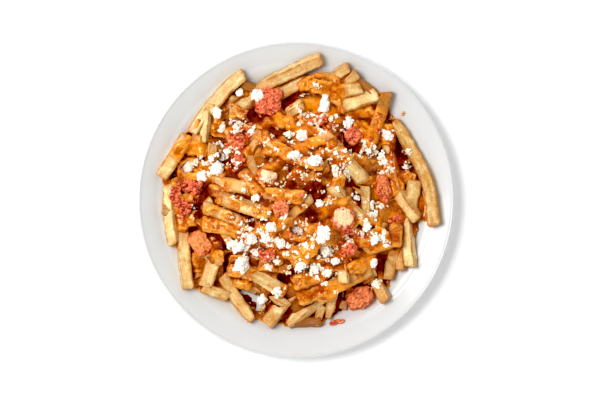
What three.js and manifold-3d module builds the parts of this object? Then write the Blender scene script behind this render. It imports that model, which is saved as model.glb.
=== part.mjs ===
// Butter chicken poutine on a round white plate: a heap of thick-cut fries under orange curry
// sauce, with red chicken chunks and crumbled white cheese. Millimetres, +Z up, the origin under
// the middle of the plate's foot ring, +Y away from the diner.
import * as THREE from 'three';
import { mergeVertices } from 'three/addons/utils/BufferGeometryUtils.js';
import Module from 'manifold-3d';

const wasm = await Module();
wasm.setup();

// Plate: a pressed porcelain plate with a broad well and a narrow rim.
const PLATE_RADIUS = 135;
const WELL_RADIUS = 98;
const RIM_RADIUS = 118;
const UNDERSIDE_BEND_RADIUS = 120;
const WELL_HEIGHT = 6;
const RIM_HEIGHT = 13;
const LIP_HEIGHT = 20;
const WALL = 4;
const FOOT_OUTER_RADIUS = 82;
const FOOT_WIDTH = 6;
const FOOT_HEIGHT = 2.5;
const FOOT_SLANT = 2;
const WALL_BENDS = [0, 98, 103, 108, 113, 118, 131];
const LIP_TURNS = [70, 0, -70];
const PLATE_SIDES = 64;

// Heap: fries about 10 mm thick on a low mound of fries and sauce.
const FRY_THICKNESS = 10;
const CORE_RADIUS = 92;
const CORE_HEIGHT = 22;
const CORE_FULLNESS = 0.7;
const CORE_EDGE = 1;
const CORE_STEPS = 4;
const CORE_SIDES = 28;
const SAUCE_FILM = 1;
const SOFT_SINK = 3;
const STEEPEST_LEAN = Math.tan(THREE.MathUtils.degToRad(24));
const LIMPNESS = 0.5;
const RIDE_UP = 0.3;
const BEND_WINDOW = 6;
const STRAIGHT_FRY_SPANS = 2;
const CURVED_FRY_SPANS = 4;
const FRY_END_SIZE = 0.86;

// Faces that lie flat within these distances are joined, before and after the pieces are cut.
const HEAP_TOLERANCE = 1;
const CUT_TOLERANCE = 0.1;

// Pieces that touch keep this much air between them.
const GAP = 0.3;

// A grid of heights over the plate, on which each piece is laid in turn.
const CELL = 2;
const REACH = 140;
const SIDE = (2 * REACH) / CELL + 1;

// Repeatable random numbers from 0 to 1.
function seededRandom(seed) {
  let state = seed;
  return () => {
    state = (state + 0x6d2b79f5) | 0;
    let t = Math.imul(state ^ (state >>> 15), 1 | state);
    t = (t + Math.imul(t ^ (t >>> 7), 61 | t)) ^ t;
    return ((t ^ (t >>> 14)) >>> 0) / 4294967296;
  };
}

// A fry is [layer, width, the stretch of it under sauce, points that it lies along]. Layer 0 lies
// on the plate and layer 4 on top. The stretch is given in shares of the fry's length.
const BARE = [0, 0];
const COATED = [0, 1];

const UPPER_LEFT_FRIES = [
  [2, 11, BARE, [[-44, 106], [-58, 95], [-75, 75]]],
  [1, 10, BARE, [[-71, 83], [-89, 57]]],
  [2, 8, BARE, [[-75, 77], [-79, 49]]],
  [1, 12, [0, 0.55], [[-92, 55], [-115, 19]]],
  [1, 9, COATED, [[-84, 53], [-89, 34]]],
  [2, 8, [0.3, 1], [[-71, 48], [-72, 22]]],
  [2, 11, [0.5, 1], [[-53, 89], [-60, 68]]],
  [3, 13, BARE, [[-32, 94], [-51, 73]]],
  [1, 8, BARE, [[-46, 99], [-20, 90]]],
  [2, 10, COATED, [[-57, 74], [-36, 71]]],
];

const LEFT_FRIES = [
  [0, 8, BARE, [[-108, 14], [-109, -10], [-106, -39]]],
  [1, 9, BARE, [[-114, -8], [-90, -16]]],
  [1, 9, COATED, [[-99, -10], [-95, -34]]],
  [1, 10, BARE, [[-96, -31], [-94, -53], [-91, -76]]],
  [3, 12, COATED, [[-94, -21], [-76, -23], [-51, -26]]],
  [3, 11, [0, 0.25], [[-79, -6], [-39, -22]]],
  [3, 12, [0, 0.45], [[-72, 16], [-32, 9]]],
  [3, 13, [0, 0.4], [[-67, 3], [-22, -12]]],
];

const LOWER_LEFT_FRIES = [
  [2, 14, COATED, [[-88, -51], [-62, -49]]],
  [1, 8, COATED, [[-84, -40], [-83, -66]]],
  [1, 13, BARE, [[-66, -42], [-78, -74]]],
  [0, 10, BARE, [[-80, -75], [-57, -83]]],
  [1, 11, BARE, [[-63, -64], [-52, -83], [-37, -103]]],
  [2, 9, [0, 0.6], [[-53, -69], [-29, -78], [-5, -90]]],
  [3, 12, COATED, [[-58, -58], [-35, -61], [-9, -79]]],
  [2, 10, COATED, [[-32, -55], [-2, -58]]],
];

const LOWER_FRIES = [
  [1, 7, BARE, [[-10, -72], [-30, -95]]],
  [1, 13, BARE, [[2, -74], [-25, -106]]],
  [1, 12, BARE, [[32, -74], [-7, -107]]],
  [0, 8, BARE, [[-8, -105], [22, -104]]],
  [0, 8, BARE, [[28, -68], [17, -107]]],
  [1, 9, BARE, [[34, -66], [27, -101]]],
  [0, 9, BARE, [[44, -62], [39, -93]]],
  [1, 11, BARE, [[58, -50], [77, -86]]],
];

const RIGHT_FRIES = [
  [1, 10, COATED, [[84, -37], [78, -68]]],
  [0, 10, BARE, [[89, -30], [90, -60]]],
  [1, 11, BARE, [[96, -8], [98, -32], [100, -57]]],
  [1, 11, BARE, [[84, 68], [98, 43], [112, 15], [118, -22]]],
  [1, 10, BARE, [[99, 18], [95, -10]]],
  [0, 6, COATED, [[86, 50], [102, 12]]],
  [1, 8, COATED, [[84, 17], [97, 24]]],
  [3, 10, [0, 0.7], [[78, 65], [81, 34], [87, 9], [105, -17]]],
  [2, 13, COATED, [[87, -20], [87, -42]]],
];

const UPPER_RIGHT_FRIES = [
  [1, 12, BARE, [[-34, 95], [22, 121]]],
  [2, 12, BARE, [[-16, 89], [12, 103]]],
  [1, 10, BARE, [[17, 94], [45, 114]]],
  [2, 10, BARE, [[30, 85], [52, 108]]],
  [0, 9, BARE, [[44, 107], [68, 89]]],
  [2, 9, COATED, [[2, 96], [19, 104], [37, 100]]],
  [2, 10, COATED, [[3, 84], [24, 100]]],
  [2, 10, COATED, [[0, 81], [19, 82]]],
  [3, 12, [0, 0.5], [[30, 91], [56, 96]]],
  [3, 13, COATED, [[20, 98], [40, 84]]],
  [3, 10, [0, 0.15], [[36, 79], [53, 85], [70, 89]]],
  [4, 11, [0.2, 1], [[78, 93], [72, 72], [60, 41]]],
];

const MIDDLE_FRIES = [
  [2, 8, COATED, [[-17, 76], [-11, 61]]],
  [2, 8, COATED, [[-6, 72], [-4, 54]]],
  [3, 11, [0, 0.2], [[-36, 57], [-3, 36]]],
  [2, 10, COATED, [[12, 47], [31, 56]]],
  [1, 11, BARE, [[-10, 90], [-1, 68]]],
  [3, 12, COATED, [[-27, 5], [8, 2]]],
  [2, 9, BARE, [[-42, 40], [-34, 20]]],
  [2, 9, BARE, [[-16, 22], [-6, 6]]],
  [4, 14, [0.65, 1], [[32, 44], [48, 27], [66, 8]]],
  [4, 11, [0, 0.5], [[30, 12], [45, -4], [64, -22]]],
  [2, 9, BARE, [[58, 12], [58, -12]]],
  [3, 17, COATED, [[79, -11], [67, -22]]],
  [3, 17, COATED, [[55, -40], [80, -33]]],
  [3, 19, COATED, [[23, -31], [-4, -52]]],
  [4, 12, COATED, [[-1, -78], [33, -68], [62, -59]]],
  [4, 11, COATED, [[2, -67], [45, -54]]],
];

// Fries that the ones above mostly cover: [layer, how many, how far out their middles reach].
const HIDDEN_FRIES = [
  [0.2, 5, 66],
  [1.2, 8, 50],
  [2.2, 7, 40],
];
const HIDDEN_FRY_LENGTH = [48, 66];
const HIDDEN_FRY_WIDTH = [9, 11];
const HIDDEN_FRY_SEED = 7;

// Pools and thick runs of sauce: [x, y, length, breadth, turn in degrees].
const SAUCE_POOLS = [
  [-92, 2, 19, 12, 20],
  [-64, 57, 17, 13, 0],
  [5, 10, 19, 22, 0],
  [-14, 36, 24, 12, -30],
  [10, -44, 30, 17, 38],
  [-48, -50, 22, 14, 0],
  [-30, 2, 16, 12, 0],
  [52, 58, 16, 22, 20],
  [70, -30, 26, 18, 10],
  [28, -82, 26, 12, 14],
  [-58, -14, 18, 12, -20],
  [46, -20, 18, 18, 0],
];
const POOL_HEIGHT = 7;
const POOL_SINK = 1;

// How the lumps of meat and cheese are made: how far they sink in, as a share of their height,
// how far they are pushed from a ball towards a box, and how uneven they are.
const CHICKEN_FORM = { seed: 11, sink: 0.3, boxy: 0.4, unevenness: 0.16 };
const CHEESE_FORM = { seed: 5, sink: 0.2, boxy: 0.3, unevenness: 0.18 };
const CHEESE_HEIGHT_SHARE = 0.8;
const LUMP_SIZE = 0.92;

// A topping rests at the height that this share of the ground under it stays below.
const RESTING_SHARE = 0.6;

// Chicken: [x, y, length, breadth, height, turn in degrees].
const CHICKEN_CHUNKS = [
  [-23, 84, 22, 20, 15, 20],
  [-48, 50, 15, 15, 12, 0],
  [-49, 34, 14, 10, 10, 80],
  [-89, 11, 19, 14, 14, -15],
  [-103, 3, 14, 10, 10, 75],
  [-95, -8, 14, 12, 11, 30],
  [-82, -37, 27, 19, 14, -18],
  [-13, -7, 17, 15, 12, 0],
  [21, 68, 15, 12, 10, 30],
  [49, 54, 16, 15, 12, 60],
  [74, 11, 23, 14, 13, 100],
  [55, -83, 26, 22, 20, 15],
  [40, -15, 21, 19, 12, 40],
  [-24, 19, 18, 14, 11, -20],
  [86, -16, 11, 10, 9, 0],
  [46, -41, 15, 14, 11, 20],
  [-24, -47, 15, 10, 9, 10],
  [-39, -34, 11, 9, 8, 0],
];
const SHRED = { x: 35, y: -104, length: 17, breadth: 5, height: 4, turn: 15 };

// Cheese lumps: [x, y, length, breadth, turn in degrees].
const CHEESE_LUMPS = [
  [-48, 92, 10, 9, 70],
  [-33, 89, 13, 12, 50],
  [-67, 74, 13, 9, 80],
  [-92, 28, 15, 13, 40],
  [-80, 21, 12, 11, 0],
  [-67, 26, 15, 14, 0],
  [-58, 41, 10, 8, 0],
  [5, 55, 14, 12, 70],
  [24, 81, 21, 10, 85],
  [45, 66, 14, 10, 60],
  [73, 38, 14, 7, 85],
  [-34, 2, 10, 8, 20],
  [20, -3, 10, 9, 0],
  [-21, -23, 16, 9, 15],
  [1, -26, 15, 10, -25],
  [23, -29, 20, 13, 80],
  [-37, -33, 11, 11, 0],
  [-13, -37, 11, 10, 60],
  [-49, -40, 20, 10, 15],
  [-46, -55, 20, 15, 60],
  [-32, -44, 14, 10, 10],
  [16, -59, 11, 9, -30],
  [27, -62, 11, 9, 20],
  [26, -44, 17, 11, 15],
  [33, -52, 11, 9, 0],
  [-29, -85, 11, 9, 20],
  [60, -23, 10, 8, 70],
  [67, -34, 12, 9, 60],
  [66, -54, 12, 9, 70],
  [16, 33, 14, 12, 20],
  [0, 38, 14, 9, 10],
];

// Lumps from these lengths up have more faces.
const MEDIUM_LUMP = 13;
const LARGE_LUMP = 20;

// Smaller crumbs fused to the heap: [x, y, half length, half breadth, how many] of each patch.
const CRUMB_PATCHES = [
  [-50, 64, 12, 6, 3],
  [20, 67, 14, 8, 3],
  [40, 32, 7, 10, 3],
  [63, 45, 5, 7, 2],
  [-22, -31, 24, 14, 4],
  [18, -42, 24, 20, 5],
  [62, -12, 8, 16, 3],
];
const CRUMB_SIZE = [2.6, 4.4];
const CRUMB_SEED = 23;

// Solids from three.js shapes, and back.
function solidFrom(geometry) {
  geometry.deleteAttribute('normal');
  geometry.deleteAttribute('uv');
  const merged = mergeVertices(geometry, 1e-3);
  return new wasm.Manifold(new wasm.Mesh({
    numProp: 3,
    vertProperties: merged.attributes.position.array,
    triVerts: new Uint32Array(merged.index.array),
  }));
}

function geometryFrom(solid) {
  const mesh = solid.getMesh();
  return new THREE.BufferGeometry()
    .setAttribute('position', new THREE.BufferAttribute(mesh.vertProperties, 3))
    .setIndex(new THREE.BufferAttribute(mesh.triVerts, 1))
    .toNonIndexed();
}

// The largest closed body of a solid, without the scraps and sealed hollows that joining leaves.
function largestBody(solid) {
  const bodies = solid.decompose();
  return bodies.reduce((best, body) => (body.volume() > best.volume() ? body : best));
}

// Height of the plate's upper face at a distance from its middle.
function plateHeight(radius) {
  const wall = THREE.MathUtils.smoothstep(radius, WELL_RADIUS, RIM_RADIUS);
  const rim = THREE.MathUtils.clamp((radius - RIM_RADIUS) / (PLATE_RADIUS - RIM_RADIUS), 0, 1);
  return WELL_HEIGHT + (RIM_HEIGHT - WELL_HEIGHT) * wall + (LIP_HEIGHT - RIM_HEIGHT) * rim;
}

// The plate's section, from the middle of its upper face round the lip to the middle of its
// underside. A positive margin grows it, for cutting what rests on it.
function plateOutline(margin) {
  const upper = WALL_BENDS
    .map((radius) => new THREE.Vector2(radius, plateHeight(radius) + margin));
  const lipRadius = WALL / 2;
  const reach = lipRadius + margin;
  const lip = LIP_TURNS.map((turn) => {
    const angle = THREE.MathUtils.degToRad(turn);
    return new THREE.Vector2(
      PLATE_RADIUS - lipRadius + Math.cos(angle) * reach,
      LIP_HEIGHT - lipRadius + Math.sin(angle) * reach,
    );
  });
  const footInner = FOOT_OUTER_RADIUS - FOOT_WIDTH;
  const lower = [
    [UNDERSIDE_BEND_RADIUS, RIM_HEIGHT - WALL],
    [FOOT_OUTER_RADIUS + FOOT_SLANT, FOOT_HEIGHT],
    [FOOT_OUTER_RADIUS, 0],
    [footInner + FOOT_SLANT, 0],
    [footInner, FOOT_HEIGHT],
    [0, FOOT_HEIGHT],
  ].map(([radius, height]) => new THREE.Vector2(radius, height - margin));
  return [...upper, ...lip, ...lower];
}

// A section from the top of the axis round to its foot, turned about the upright axis.
function turnedSolid(outline, sides) {
  return solidFrom(new THREE.LatheGeometry(outline.reverse(), sides).rotateX(Math.PI / 2));
}

// Height of the mound's upper face at a distance from its middle.
function coreHeight(radius) {
  const share = Math.min(radius / CORE_RADIUS, 1);
  return WELL_HEIGHT + CORE_HEIGHT * (1 - share * share) ** CORE_FULLNESS;
}

function makeCore() {
  const outline = [];
  for (let i = 0; i < CORE_STEPS; i++) {
    const radius = CORE_RADIUS * Math.sin((i / CORE_STEPS) * (Math.PI / 2));
    outline.push(new THREE.Vector2(radius, coreHeight(radius)));
  }
  outline.push(new THREE.Vector2(CORE_RADIUS, WELL_HEIGHT + CORE_EDGE));
  outline.push(new THREE.Vector2(CORE_RADIUS - CORE_EDGE, WELL_HEIGHT + GAP));
  outline.push(new THREE.Vector2(0, WELL_HEIGHT + GAP));
  return turnedSolid(outline, CORE_SIDES);
}

// Heights of everything laid so far.
const ground = new Float64Array(SIDE * SIDE);

function cellAt(x, y) {
  const column = Math.round((x + REACH) / CELL);
  const row = Math.round((y + REACH) / CELL);
  const last = SIDE - 1;
  return Math.min(Math.max(row, 0), last) * SIDE + Math.min(Math.max(column, 0), last);
}

function clearGround() {
  for (let row = 0; row < SIDE; row++) {
    for (let column = 0; column < SIDE; column++) {
      const radius = Math.hypot(column * CELL - REACH, row * CELL - REACH);
      const bare = radius < CORE_RADIUS ? coreHeight(radius) : 0;
      ground[row * SIDE + column] = Math.max(plateHeight(radius), bare);
    }
  }
}

// The straight line that lies closest to bumps along a fry, no steeper than a fry can lean.
function leaningLine(along, bumps) {
  const count = along.length;
  const middle = along.reduce((sum, s) => sum + s, 0) / count;
  const level = bumps.reduce((sum, bump) => sum + bump, 0) / count;
  let rise = 0;
  let spread = 0;
  along.forEach((s, i) => {
    rise += (s - middle) * (bumps[i] - level);
    spread += (s - middle) ** 2;
  });
  const slope = THREE.MathUtils.clamp(rise / spread, -STEEPEST_LEAN, STEEPEST_LEAN);
  return along.map((s) => level + slope * (s - middle));
}

// A fry laid on the ground: stations along it with the height of its underside. It lies along
// the slope, bends with the broader bumps and rides up on the sharper ones.
function layFry([, width, sauce, points]) {
  const curve = new THREE.SplineCurve(points.map(([x, y]) => new THREE.Vector2(x, y)));
  const length = curve.getLength();
  const count = Math.max(4, Math.round(length / CELL));
  const plan = curve.getSpacedPoints(count);
  const along = plan.map((_, i) => (i * length) / count);
  const sides = plan.map((_, i) => {
    const before = plan[Math.max(i - 1, 0)];
    const after = plan[Math.min(i + 1, count)];
    const run = after.clone().sub(before).normalize();
    return new THREE.Vector2(run.y, -run.x);
  });
  const half = width / 2 - 1;
  const bumps = plan.map((point, i) => {
    const across = [-half, -half / 2, 0, half / 2, half].map((off) => ground[cellAt(
      point.x + sides[i].x * off,
      point.y + sides[i].y * off,
    )]);
    return across.reduce((sum, height) => sum + height, 0) / across.length;
  });
  const line = leaningLine(along, bumps);
  const over = bumps.map((bump, i) => bump - line[i]);
  const unevenness = Math.sqrt(over.reduce((sum, value) => sum + value * value, 0) / over.length);
  const thickness = Math.min(width, FRY_THICKNESS);
  const stations = plan.map((point, i) => {
    const near = over.slice(Math.max(i - BEND_WINDOW, 0), i + BEND_WINDOW + 1);
    const bend = near.reduce((sum, value) => sum + value, 0) / near.length;
    const share = along[i] / length;
    const coated = share >= sauce[0] && share <= sauce[1] && sauce[1] > sauce[0];
    return {
      x: point.x,
      y: point.y,
      side: sides[i],
      z: line[i] + LIMPNESS * bend + RIDE_UP * unevenness - SOFT_SINK,
      film: coated ? SAUCE_FILM : 0,
    };
  });
  for (const at of stations) {
    for (let off = -half - 1; off <= half + 1.01; off += 1) {
      const cell = cellAt(at.x + at.side.x * off, at.y + at.side.y * off);
      ground[cell] = Math.max(ground[cell], at.z + thickness + at.film);
    }
  }
  return { width, thickness, stations, curved: points.length > 2 };
}

// A square bar bent along a fry's stations, a little narrower at its ends.
function frySolid({ width, thickness, stations, curved }) {
  const spans = curved ? CURVED_FRY_SPANS : STRAIGHT_FRY_SPANS;
  const bar = new THREE.BoxGeometry(2, 1, 2, 1, spans, 1);
  const place = bar.attributes.position;
  const last = stations.length - 1;
  for (let i = 0; i < place.count; i++) {
    const share = place.getY(i) + 0.5;
    const at = stations[Math.round(share * last)];
    const end = Math.abs(place.getY(i)) < 0.5 ? 1 : FRY_END_SIZE;
    const sideways = place.getX(i) * end * ((width + at.film) / 2);
    const upward = place.getZ(i) * end * ((thickness + at.film) / 2);
    place.setXYZ(
      i,
      at.x + at.side.x * sideways,
      at.y + at.side.y * sideways,
      at.z + (thickness + at.film) / 2 + upward,
    );
  }
  return solidFrom(bar);
}

// Fries by a rule: middles on a sunflower spiral, lengths and turns at random.
function hiddenFries() {
  const random = seededRandom(HIDDEN_FRY_SEED);
  const goldenTurn = Math.PI * (3 - Math.sqrt(5));
  const between = ([low, high]) => low + random() * (high - low);
  const rows = [];
  for (const [layer, count, reach] of HIDDEN_FRIES) {
    for (let i = 0; i < count; i++) {
      const away = reach * Math.sqrt((i + 0.5) / count);
      const bearing = i * goldenTurn + layer;
      const turn = random() * Math.PI;
      const half = between(HIDDEN_FRY_LENGTH) / 2;
      const width = between(HIDDEN_FRY_WIDTH);
      const x = away * Math.cos(bearing);
      const y = away * Math.sin(bearing);
      rows.push([layer + 0.01 * i, width, COATED, [
        [x - half * Math.cos(turn), y - half * Math.sin(turn)],
        [x + half * Math.cos(turn), y + half * Math.sin(turn)],
      ]]);
    }
  }
  return rows;
}

// Height at which something rests on the ground under an oval patch.
function groundUnder(x, y, length, breadth, turn) {
  const heights = [];
  const angle = THREE.MathUtils.degToRad(turn);
  for (let u = -0.8; u <= 0.81; u += 0.2) {
    for (let v = -0.8; v <= 0.81; v += 0.2) {
      if (u * u + v * v > 0.7) continue;
      const along = (u * length) / 2;
      const across = (v * breadth) / 2;
      heights.push(ground[cellAt(
        x + along * Math.cos(angle) - across * Math.sin(angle),
        y + along * Math.sin(angle) + across * Math.cos(angle),
      )]);
    }
  }
  heights.sort((a, b) => a - b);
  return heights[Math.floor(RESTING_SHARE * (heights.length - 1))];
}

function raiseGround(x, y, length, breadth, turn, base, height) {
  const angle = THREE.MathUtils.degToRad(turn);
  const reach = Math.max(length, breadth) / 2;
  for (let dx = -reach; dx <= reach; dx += CELL / 2) {
    for (let dy = -reach; dy <= reach; dy += CELL / 2) {
      const u = (dx * Math.cos(angle) + dy * Math.sin(angle)) / (length / 2);
      const v = (-dx * Math.sin(angle) + dy * Math.cos(angle)) / (breadth / 2);
      const bulge = 1 - (u * u + v * v) ** 2;
      if (bulge <= 0) continue;
      const cell = cellAt(x + dx, y + dy);
      ground[cell] = Math.max(ground[cell], base + height * Math.sqrt(bulge));
    }
  }
}

// A round shape to make a lump of this length from, with more faces on the larger ones.
function ballFor(length) {
  if (length >= LARGE_LUMP) return new THREE.IcosahedronGeometry(1, 1);
  if (length >= MEDIUM_LUMP) return new THREE.DodecahedronGeometry(1);
  return new THREE.IcosahedronGeometry(1);
}

// An uneven lump: a ball pushed towards a box, with every corner moved in or out at random.
function lump(length, breadth, height, turn, { boxy, unevenness }, random) {
  const ball = ballFor(length);
  ball.deleteAttribute('normal');
  ball.deleteAttribute('uv');
  const shape = mergeVertices(ball, 1e-3);
  const place = shape.attributes.position;
  const corner = new THREE.Vector3();
  for (let i = 0; i < place.count; i++) {
    corner.fromBufferAttribute(place, i);
    const widest = Math.max(Math.abs(corner.x), Math.abs(corner.y), Math.abs(corner.z));
    const stretch = widest ** -boxy * LUMP_SIZE;
    corner.multiplyScalar(stretch * (1 - unevenness * random()));
    place.setXYZ(i, (corner.x * length) / 2, (corner.y * breadth) / 2, (corner.z * height) / 2);
  }
  shape.rotateZ(THREE.MathUtils.degToRad(turn));
  return shape;
}

// How much larger a star-shaped lump is made so that every face moves out by the gap.
function growthOf(shape) {
  const flat = shape.toNonIndexed().attributes.position;
  const [a, b, c] = [new THREE.Vector3(), new THREE.Vector3(), new THREE.Vector3()];
  const plane = new THREE.Plane();
  let nearest = Infinity;
  for (let i = 0; i < flat.count; i += 3) {
    a.fromBufferAttribute(flat, i);
    b.fromBufferAttribute(flat, i + 1);
    c.fromBufferAttribute(flat, i + 2);
    plane.setFromCoplanarPoints(a, b, c);
    nearest = Math.min(nearest, Math.abs(plane.constant));
  }
  return 1 + (GAP + 0.1) / nearest;
}

// A topping and the room it needs, both at its place.
function topping(name, shape, x, y, z, material) {
  const room = shape.clone();
  const growth = growthOf(shape);
  room.scale(growth, growth, growth);
  return {
    name,
    material,
    solid: solidFrom(shape.translate(x, y, z)),
    room: solidFrom(room.translate(x, y, z)),
  };
}

const porcelain = new THREE.MeshStandardMaterial({ color: 0xf4f4f2, roughness: 0.12 });
const saucedFries = new THREE.MeshStandardMaterial({ color: 0xd98a35, roughness: 0.35 });
const redChicken = new THREE.MeshStandardMaterial({ color: 0xd9533a, roughness: 0.45 });
const whiteCheese = new THREE.MeshStandardMaterial({ color: 0xf8f4ea, roughness: 0.7 });

clearGround();
const plateRoom = turnedSolid(plateOutline(GAP), PLATE_SIDES);

const fryRows = [
  ...UPPER_LEFT_FRIES,
  ...LEFT_FRIES,
  ...LOWER_LEFT_FRIES,
  ...LOWER_FRIES,
  ...RIGHT_FRIES,
  ...UPPER_RIGHT_FRIES,
  ...MIDDLE_FRIES,
  ...hiddenFries(),
].sort((a, b) => a[0] - b[0]);
const heapParts = [makeCore()];
for (const row of fryRows) heapParts.push(frySolid(layFry(row)));

for (const [x, y, length, breadth, turn] of SAUCE_POOLS) {
  const middle = groundUnder(x, y, length, breadth, turn) - POOL_SINK;
  const pool = new THREE.SphereGeometry(1, 8, 4);
  pool.scale(length / 2, POOL_HEIGHT / 2, breadth / 2);
  pool.rotateX(Math.PI / 2);
  pool.rotateZ(THREE.MathUtils.degToRad(turn));
  heapParts.push(solidFrom(pool.translate(x, y, middle)));
  raiseGround(x, y, length, breadth, turn, middle, POOL_HEIGHT / 2);
}

// Chicken first, then the cheese that lies on it.
const toppings = [];
const chunkRandom = seededRandom(CHICKEN_FORM.seed);
CHICKEN_CHUNKS.forEach(([x, y, length, breadth, height, turn], i) => {
  const base = groundUnder(x, y, length, breadth, turn) - CHICKEN_FORM.sink * height;
  const shape = lump(length, breadth, height, turn, CHICKEN_FORM, chunkRandom);
  const name = `chicken_${String(i + 1).padStart(2, '0')}`;
  toppings.push(topping(name, shape, x, y, base + height / 2, redChicken));
  raiseGround(x, y, length, breadth, turn, base + height / 2, height / 2);
});
const shredBase = plateHeight(Math.hypot(SHRED.x, SHRED.y));
toppings.push(topping(
  'chicken_shred',
  lump(SHRED.length, SHRED.breadth, SHRED.height, SHRED.turn, CHICKEN_FORM, chunkRandom),
  SHRED.x,
  SHRED.y,
  shredBase + SHRED.height / 2,
  redChicken,
));
const lumpRandom = seededRandom(CHEESE_FORM.seed);
CHEESE_LUMPS.forEach(([x, y, length, breadth, turn], i) => {
  const height = CHEESE_HEIGHT_SHARE * Math.min(length, breadth);
  const base = groundUnder(x, y, length, breadth, turn) - CHEESE_FORM.sink * height;
  const shape = lump(length, breadth, height, turn, CHEESE_FORM, lumpRandom);
  const name = `cheese_${String(i + 1).padStart(2, '0')}`;
  toppings.push(topping(name, shape, x, y, base + height / 2, whiteCheese));
  raiseGround(x, y, length, breadth, turn, base + height / 2, height / 2);
});

const crumbRandom = seededRandom(CRUMB_SEED);
for (const [x, y, halfLength, halfBreadth, count] of CRUMB_PATCHES) {
  for (let i = 0; i < count; i++) {
    const angle = crumbRandom() * 2 * Math.PI;
    const away = Math.sqrt(crumbRandom());
    const size = CRUMB_SIZE[0] + crumbRandom() * (CRUMB_SIZE[1] - CRUMB_SIZE[0]);
    const atX = x + halfLength * away * Math.cos(angle);
    const atY = y + halfBreadth * away * Math.sin(angle);
    const crumb = new THREE.OctahedronGeometry(size / 2).rotateZ(angle);
    crumb.translate(atX, atY, ground[cellAt(atX, atY)] + 0.25 * size);
    heapParts.push(solidFrom(crumb));
  }
}

// Each topping makes room for the ones laid before it, and the heap for all of them.
const group = new THREE.Group();

function addMesh(name, geometry, material) {
  const mesh = new THREE.Mesh(geometry, material);
  mesh.name = name;
  group.add(mesh);
}

const plate = turnedSolid(plateOutline(0), PLATE_SIDES);
addMesh('plate', geometryFrom(plate), porcelain);

const rooms = [plateRoom];
for (const { name, solid, room, material } of toppings) {
  const shape = largestBody(solid.subtract(wasm.Manifold.union(rooms)));
  addMesh(name, geometryFrom(shape.simplify(CUT_TOLERANCE)), material);
  rooms.push(room);
}
const whole = largestBody(wasm.Manifold.union(heapParts)).simplify(HEAP_TOLERANCE);
const heap = whole.subtract(wasm.Manifold.union(rooms));
addMesh('fries', geometryFrom(largestBody(heap).simplify(CUT_TOLERANCE)), saucedFries);

export default group;
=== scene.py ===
# %% [markdown]
# # Butter chicken poutine, seen from above
# This lesson dresses a plain model of a plate of fries. The model is called the frame: it fixes
# every place and size, and nothing here moves or resizes it. Each step takes one thing that the
# real dish is made of: porcelain, fried potato, curry sauce, chicken and fresh white cheese.

# %% Load the frame
import math

import bmesh
import bpy
import numpy as np
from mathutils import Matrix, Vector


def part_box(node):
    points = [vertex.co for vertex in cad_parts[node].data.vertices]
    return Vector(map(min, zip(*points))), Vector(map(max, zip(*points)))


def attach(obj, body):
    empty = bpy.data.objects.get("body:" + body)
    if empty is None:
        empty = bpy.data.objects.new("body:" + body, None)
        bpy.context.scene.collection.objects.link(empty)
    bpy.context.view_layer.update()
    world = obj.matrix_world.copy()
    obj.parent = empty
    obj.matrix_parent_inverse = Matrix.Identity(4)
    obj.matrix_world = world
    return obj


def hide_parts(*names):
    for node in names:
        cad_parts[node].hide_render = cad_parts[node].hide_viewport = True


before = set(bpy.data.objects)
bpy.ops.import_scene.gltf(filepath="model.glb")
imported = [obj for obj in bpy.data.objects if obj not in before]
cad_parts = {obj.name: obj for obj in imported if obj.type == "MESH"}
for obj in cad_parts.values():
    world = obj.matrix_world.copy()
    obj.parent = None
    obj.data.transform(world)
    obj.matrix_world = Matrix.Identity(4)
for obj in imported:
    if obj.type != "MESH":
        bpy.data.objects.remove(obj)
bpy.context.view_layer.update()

import openvdb
from mathutils import Vector
from mathutils.bvhtree import BVHTree

MM = 0.001

# %% [markdown]
# ## Small helpers
# Blender's shaders work in linear light, while colours are picked as the sRGB hex values of any
# paint program. One function turns the second into the first. Another adds a shader node with
# its settings and its links in one call, which keeps each material readable.

# %% Helpers for colours, nodes and meshes
def linear(hex_colour):
    """An sRGB hex colour as linear red, green, blue and alpha."""
    channels = [int(hex_colour[i:i + 2], 16) / 255 for i in (1, 3, 5)]
    return [c / 12.92 if c <= 0.04045 else ((c + 0.055) / 1.055) ** 2.4 for c in channels] + [1]


def add_node(material, kind, settings=None, links=None):
    """A new shader node, with its properties and sockets set and its inputs linked."""
    node = material.node_tree.nodes.new(kind)
    for name, value in (settings or {}).items():
        if isinstance(name, int) or name in node.inputs:
            node.inputs[name].default_value = value
        else:
            setattr(node, name, value)
    for name, socket in (links or {}).items():
        material.node_tree.links.new(socket, node.inputs[name])
    return node


def new_material(name):
    """An empty material and its output node."""
    material = bpy.data.materials.new(name)
    material.use_nodes = True
    material.node_tree.nodes.clear()
    return material, add_node(material, "ShaderNodeOutputMaterial")


def finish_material(material, output, shader):
    """Link the shader to the output and hand the material back."""
    material.node_tree.links.new(shader.outputs[0], output.inputs["Surface"])
    return material


def new_piece(name, points_mm, faces, material, attributes=None):
    """A smooth mesh object from points in millimetres, with named numbers at its points."""
    mesh = bpy.data.meshes.new(name)
    mesh.from_pydata((np.asarray(points_mm) * MM).tolist(), [], faces)
    mesh.shade_smooth()
    for label, values in (attributes or {}).items():
        layer = mesh.attributes.new(label, "FLOAT", "POINT")
        layer.data.foreach_set("value", np.asarray(values, np.float32))
    mesh.materials.append(material)
    piece = bpy.data.objects.new(name, mesh)
    bpy.context.scene.collection.objects.link(piece)
    return piece


# %% [markdown]
# ## Repeatable unevenness
# Nothing that is cooked is even. Blender has noise textures for that, but geometry needs the
# same kind of noise as plain numbers. A value for each corner of a cubic lattice comes from its
# whole-number place, and points in between take a smooth mixture, so each run is the same. The
# same lattice with one spot in each cell gives grains, for what breaks into flat-sided bits.

# %% Noise and random numbers
KEEPS_POSITIVE = 1000.0


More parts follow.
